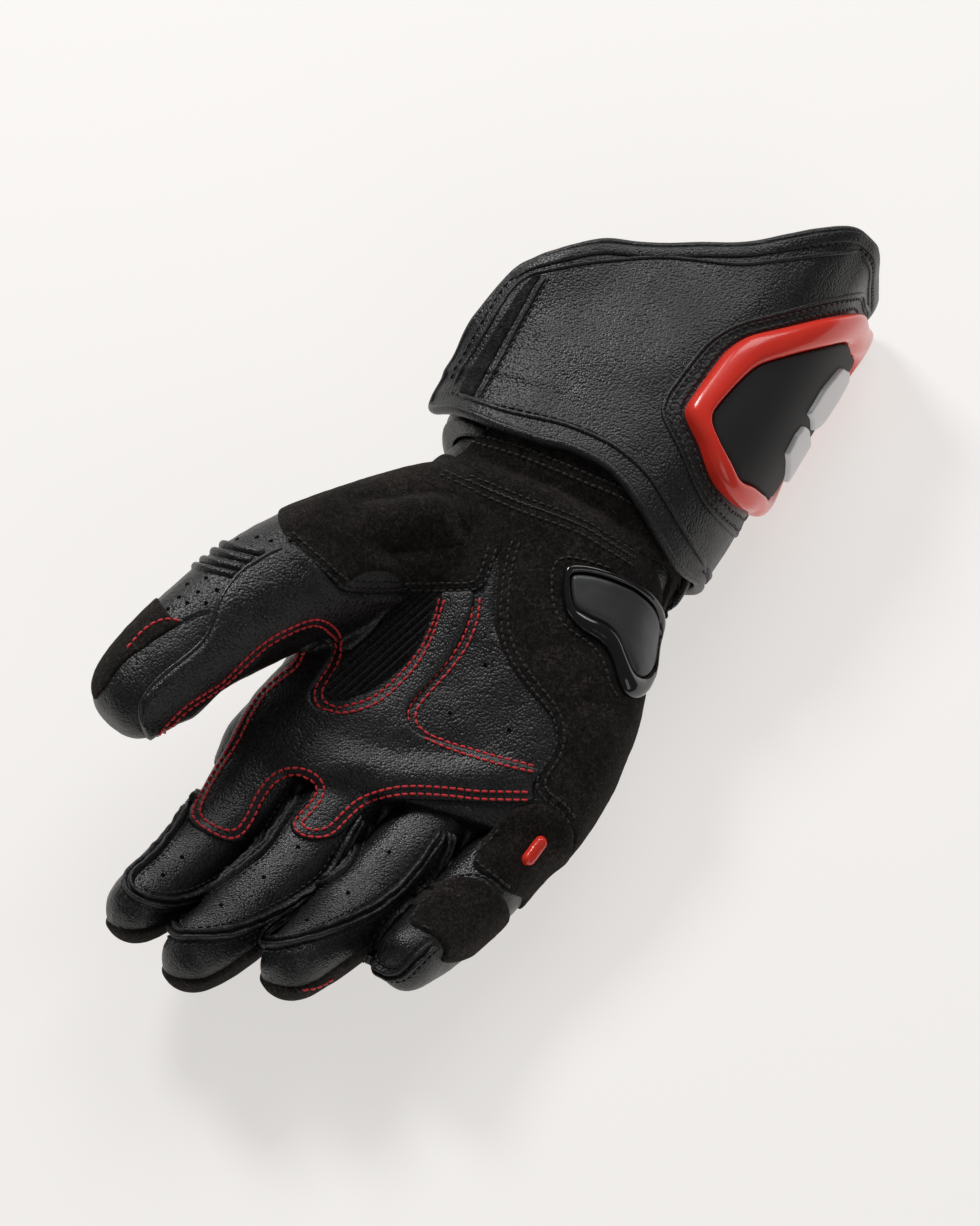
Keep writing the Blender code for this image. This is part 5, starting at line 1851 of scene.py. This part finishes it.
def make_palm_slider(top):
    """The gloss ring and its matte insert."""
    outer = View(top, (0.60, -0.25, 0.76))
    panel(
        "palm_slider_plate", outer, PALM_INSERT, 2.6, 1.6, GREY_PLASTIC, "grey_plastic",
        "palm_slider_insert", pitch=0.9,
    )
    outline = round_loop([outer.of(mark) for mark in PALM_RING], 0.7)
    inner = round_loop([outer.of(mark) for mark in PALM_INSERT], 0.7)
    rim(
        "palm_slider_rim", outline, inner, outer.raised, PALM_RING_PROFILE, GLOSS, "gloss_plastic",
        "palm_slider_frame",
    )


def make_sewing(top):
    """Raised seams, stitch rows and punched holes on what shows."""
    red, black = Sewing("red_stitches", RED_THREAD), Sewing("black_stitches", BLACK_THREAD)
    for line in RED_PAIRS:
        red.double(top, path_on(top, line))
    for line in BLACK_PAIRS + THENAR_PAIRS:
        black.double(top, path_on(top, line))
    black.row(top, path_on(top, SLIDER_ROW))
    for line in LITTLE_ROWS:
        black.row(top, path_on(top, line), 1.1)
    for k, line in enumerate(FINGER_SEAMS):
        path = path_on(top, line, step=0.8, calm=14)
        strip(f"finger_seam_{k + 1}", path, LAPPED_SEAM, SEAM_LEATHER, ruffle=0.30)
        for aside in (2.7, -2.7):
            black.row(top, path, aside, length=1.6, radius=0.24)
    for k, (first, second) in enumerate(THUMB_RIBS):
        centre = thumb_axis_near(top.seen(first)[0])
        strip(f"thumb_rib_{k + 1}", ring_path(top, first, second, centre, 135), RIB, LEATHER, taper=3)
    # The welt along the thumb panel's edge is in the lighter leather, as a painted highlight line.
    strip("thumb_edge", path_on(top, THUMB_EDGE, step=0.8, calm=4), THIN_WELT, HIGHLIGHT_EDGE_LEATHER, scale=0.85)
    strip("thumb_tip_seam", path_on(top, THUMB_TIP_SEAM, step=0.6), SOFT_RIDGE, LEATHER, scale=0.7)
    for line in (THUMB_TIP_ROW, RING_TIP_ROW):
        red.row(top, path_on(top, line))
    for line in WRIST_PAIRS:
        black.double(top, path_on(top, line), gap=2.6)
    make_holes(top, PALM_HOLES + FINGER_HOLES + THUMB_HOLES)
    red.make()
    black.make()


# Light, floor and camera

Lamp = namedtuple("Lamp", "name place size power")
LAMPS = (
    Lamp("key", (-1.25, 0.45, 1.25), (0.45, 0.45), 14),
    Lamp("fill", (1.1, -0.5, 0.9), (0.8, 0.8), 2.0),
    Lamp("top", (-0.40, 1.15, 1.15), (0.9, 0.7), 7.0),
)
FLOOR_HALF = 3


def make_stage():
    """A plain pale floor, a faint surround and three soft lamps."""
    corners = [(x * FLOOR_HALF, y * FLOOR_HALF, 0) for x, y in ((-1, -1), (1, -1), (1, 1), (-1, 1))]
    look = Look("pale_floor", 0.85, Specular_IOR_Level=0.1, Emission_Strength=0.69)
    look.shader.inputs["Emission Color"].default_value = (0.90, 0.875, 0.845, 1)
    tones = ((0.3, (0.445, 0.438, 0.432)), (0.7, (0.455, 0.448, 0.442)))
    look.colour(look.ramp(look.noise(1.5, 2, 0.5), tones))
    floor = new_object("floor", corners, [(0, 1, 2, 3)], look.material)

    world = bpy.data.worlds.new("studio")
    bpy.context.scene.world = world
    world.use_nodes = True
    surround = world.node_tree.nodes["Background"]
    surround.inputs["Color"].default_value = (1.0, 0.985, 0.965, 1)
    surround.inputs["Strength"].default_value = 0.11
    bpy.context.scene.view_settings.view_transform = "Standard"

    for lamp in LAMPS:
        light = bpy.data.lights.new(lamp.name, "AREA")
        light.shape = "RECTANGLE"
        light.size, light.size_y = lamp.size
        light.energy = lamp.power
        obj = bpy.data.objects.new(lamp.name, light)
        obj.location = lamp.place
        obj.rotation_euler = (CAMERA_TARGET - Vector(lamp.place)).to_track_quat("-Z", "Y").to_euler()
        bpy.context.scene.collection.objects.link(obj)


def make_camera():
    data = bpy.data.cameras.new("camera")
    data.sensor_fit = "VERTICAL"
    data.sensor_height = SENSOR_MM
    data.lens = LENS_MM
    data.clip_start = 0.01
    camera = bpy.data.objects.new("camera", data)
    turn = Matrix((RIGHT, UPWARD, BACK)).transposed().to_4x4()
    camera.matrix_world = Matrix.Translation(EYE) @ turn
    bpy.context.scene.collection.objects.link(camera)
    bpy.context.scene.camera = camera


def main():
    make_camera()
    make_stage()
    body, stalls, support = make_base()
    open_wrist(body)
    piece(body, "leather", "palm_shell", "back_shell", "thumb_stall", "thumb_back")
    for stall, finger in zip(stalls, FINGERS):
        stall.name = finger.name.replace("_finger", "_stall")
        piece(stall, "leather", finger.name)
    make_lining()
    make_cuff()
    face = flap_face()
    cuff_thread = Sewing("cuff_stitches", BLACK_THREAD)
    make_flap_trim(face, cuff_thread)
    make_end_strip(face, cuff_thread)
    make_cuff_slider(face, cuff_thread)
    cuff_thread.make()
    base = Surface(support)
    panels = make_thumb_pieces(base) + make_wrist(base) + make_palm_panels(base)
    bpy.data.objects.remove(support)
    panels += make_tip_pads(stalls)
    top = union_surface([body, *stalls, *panels])
    make_palm_slider(top)
    make_pill(top)
    make_guard()
    make_sewing(top)


main()
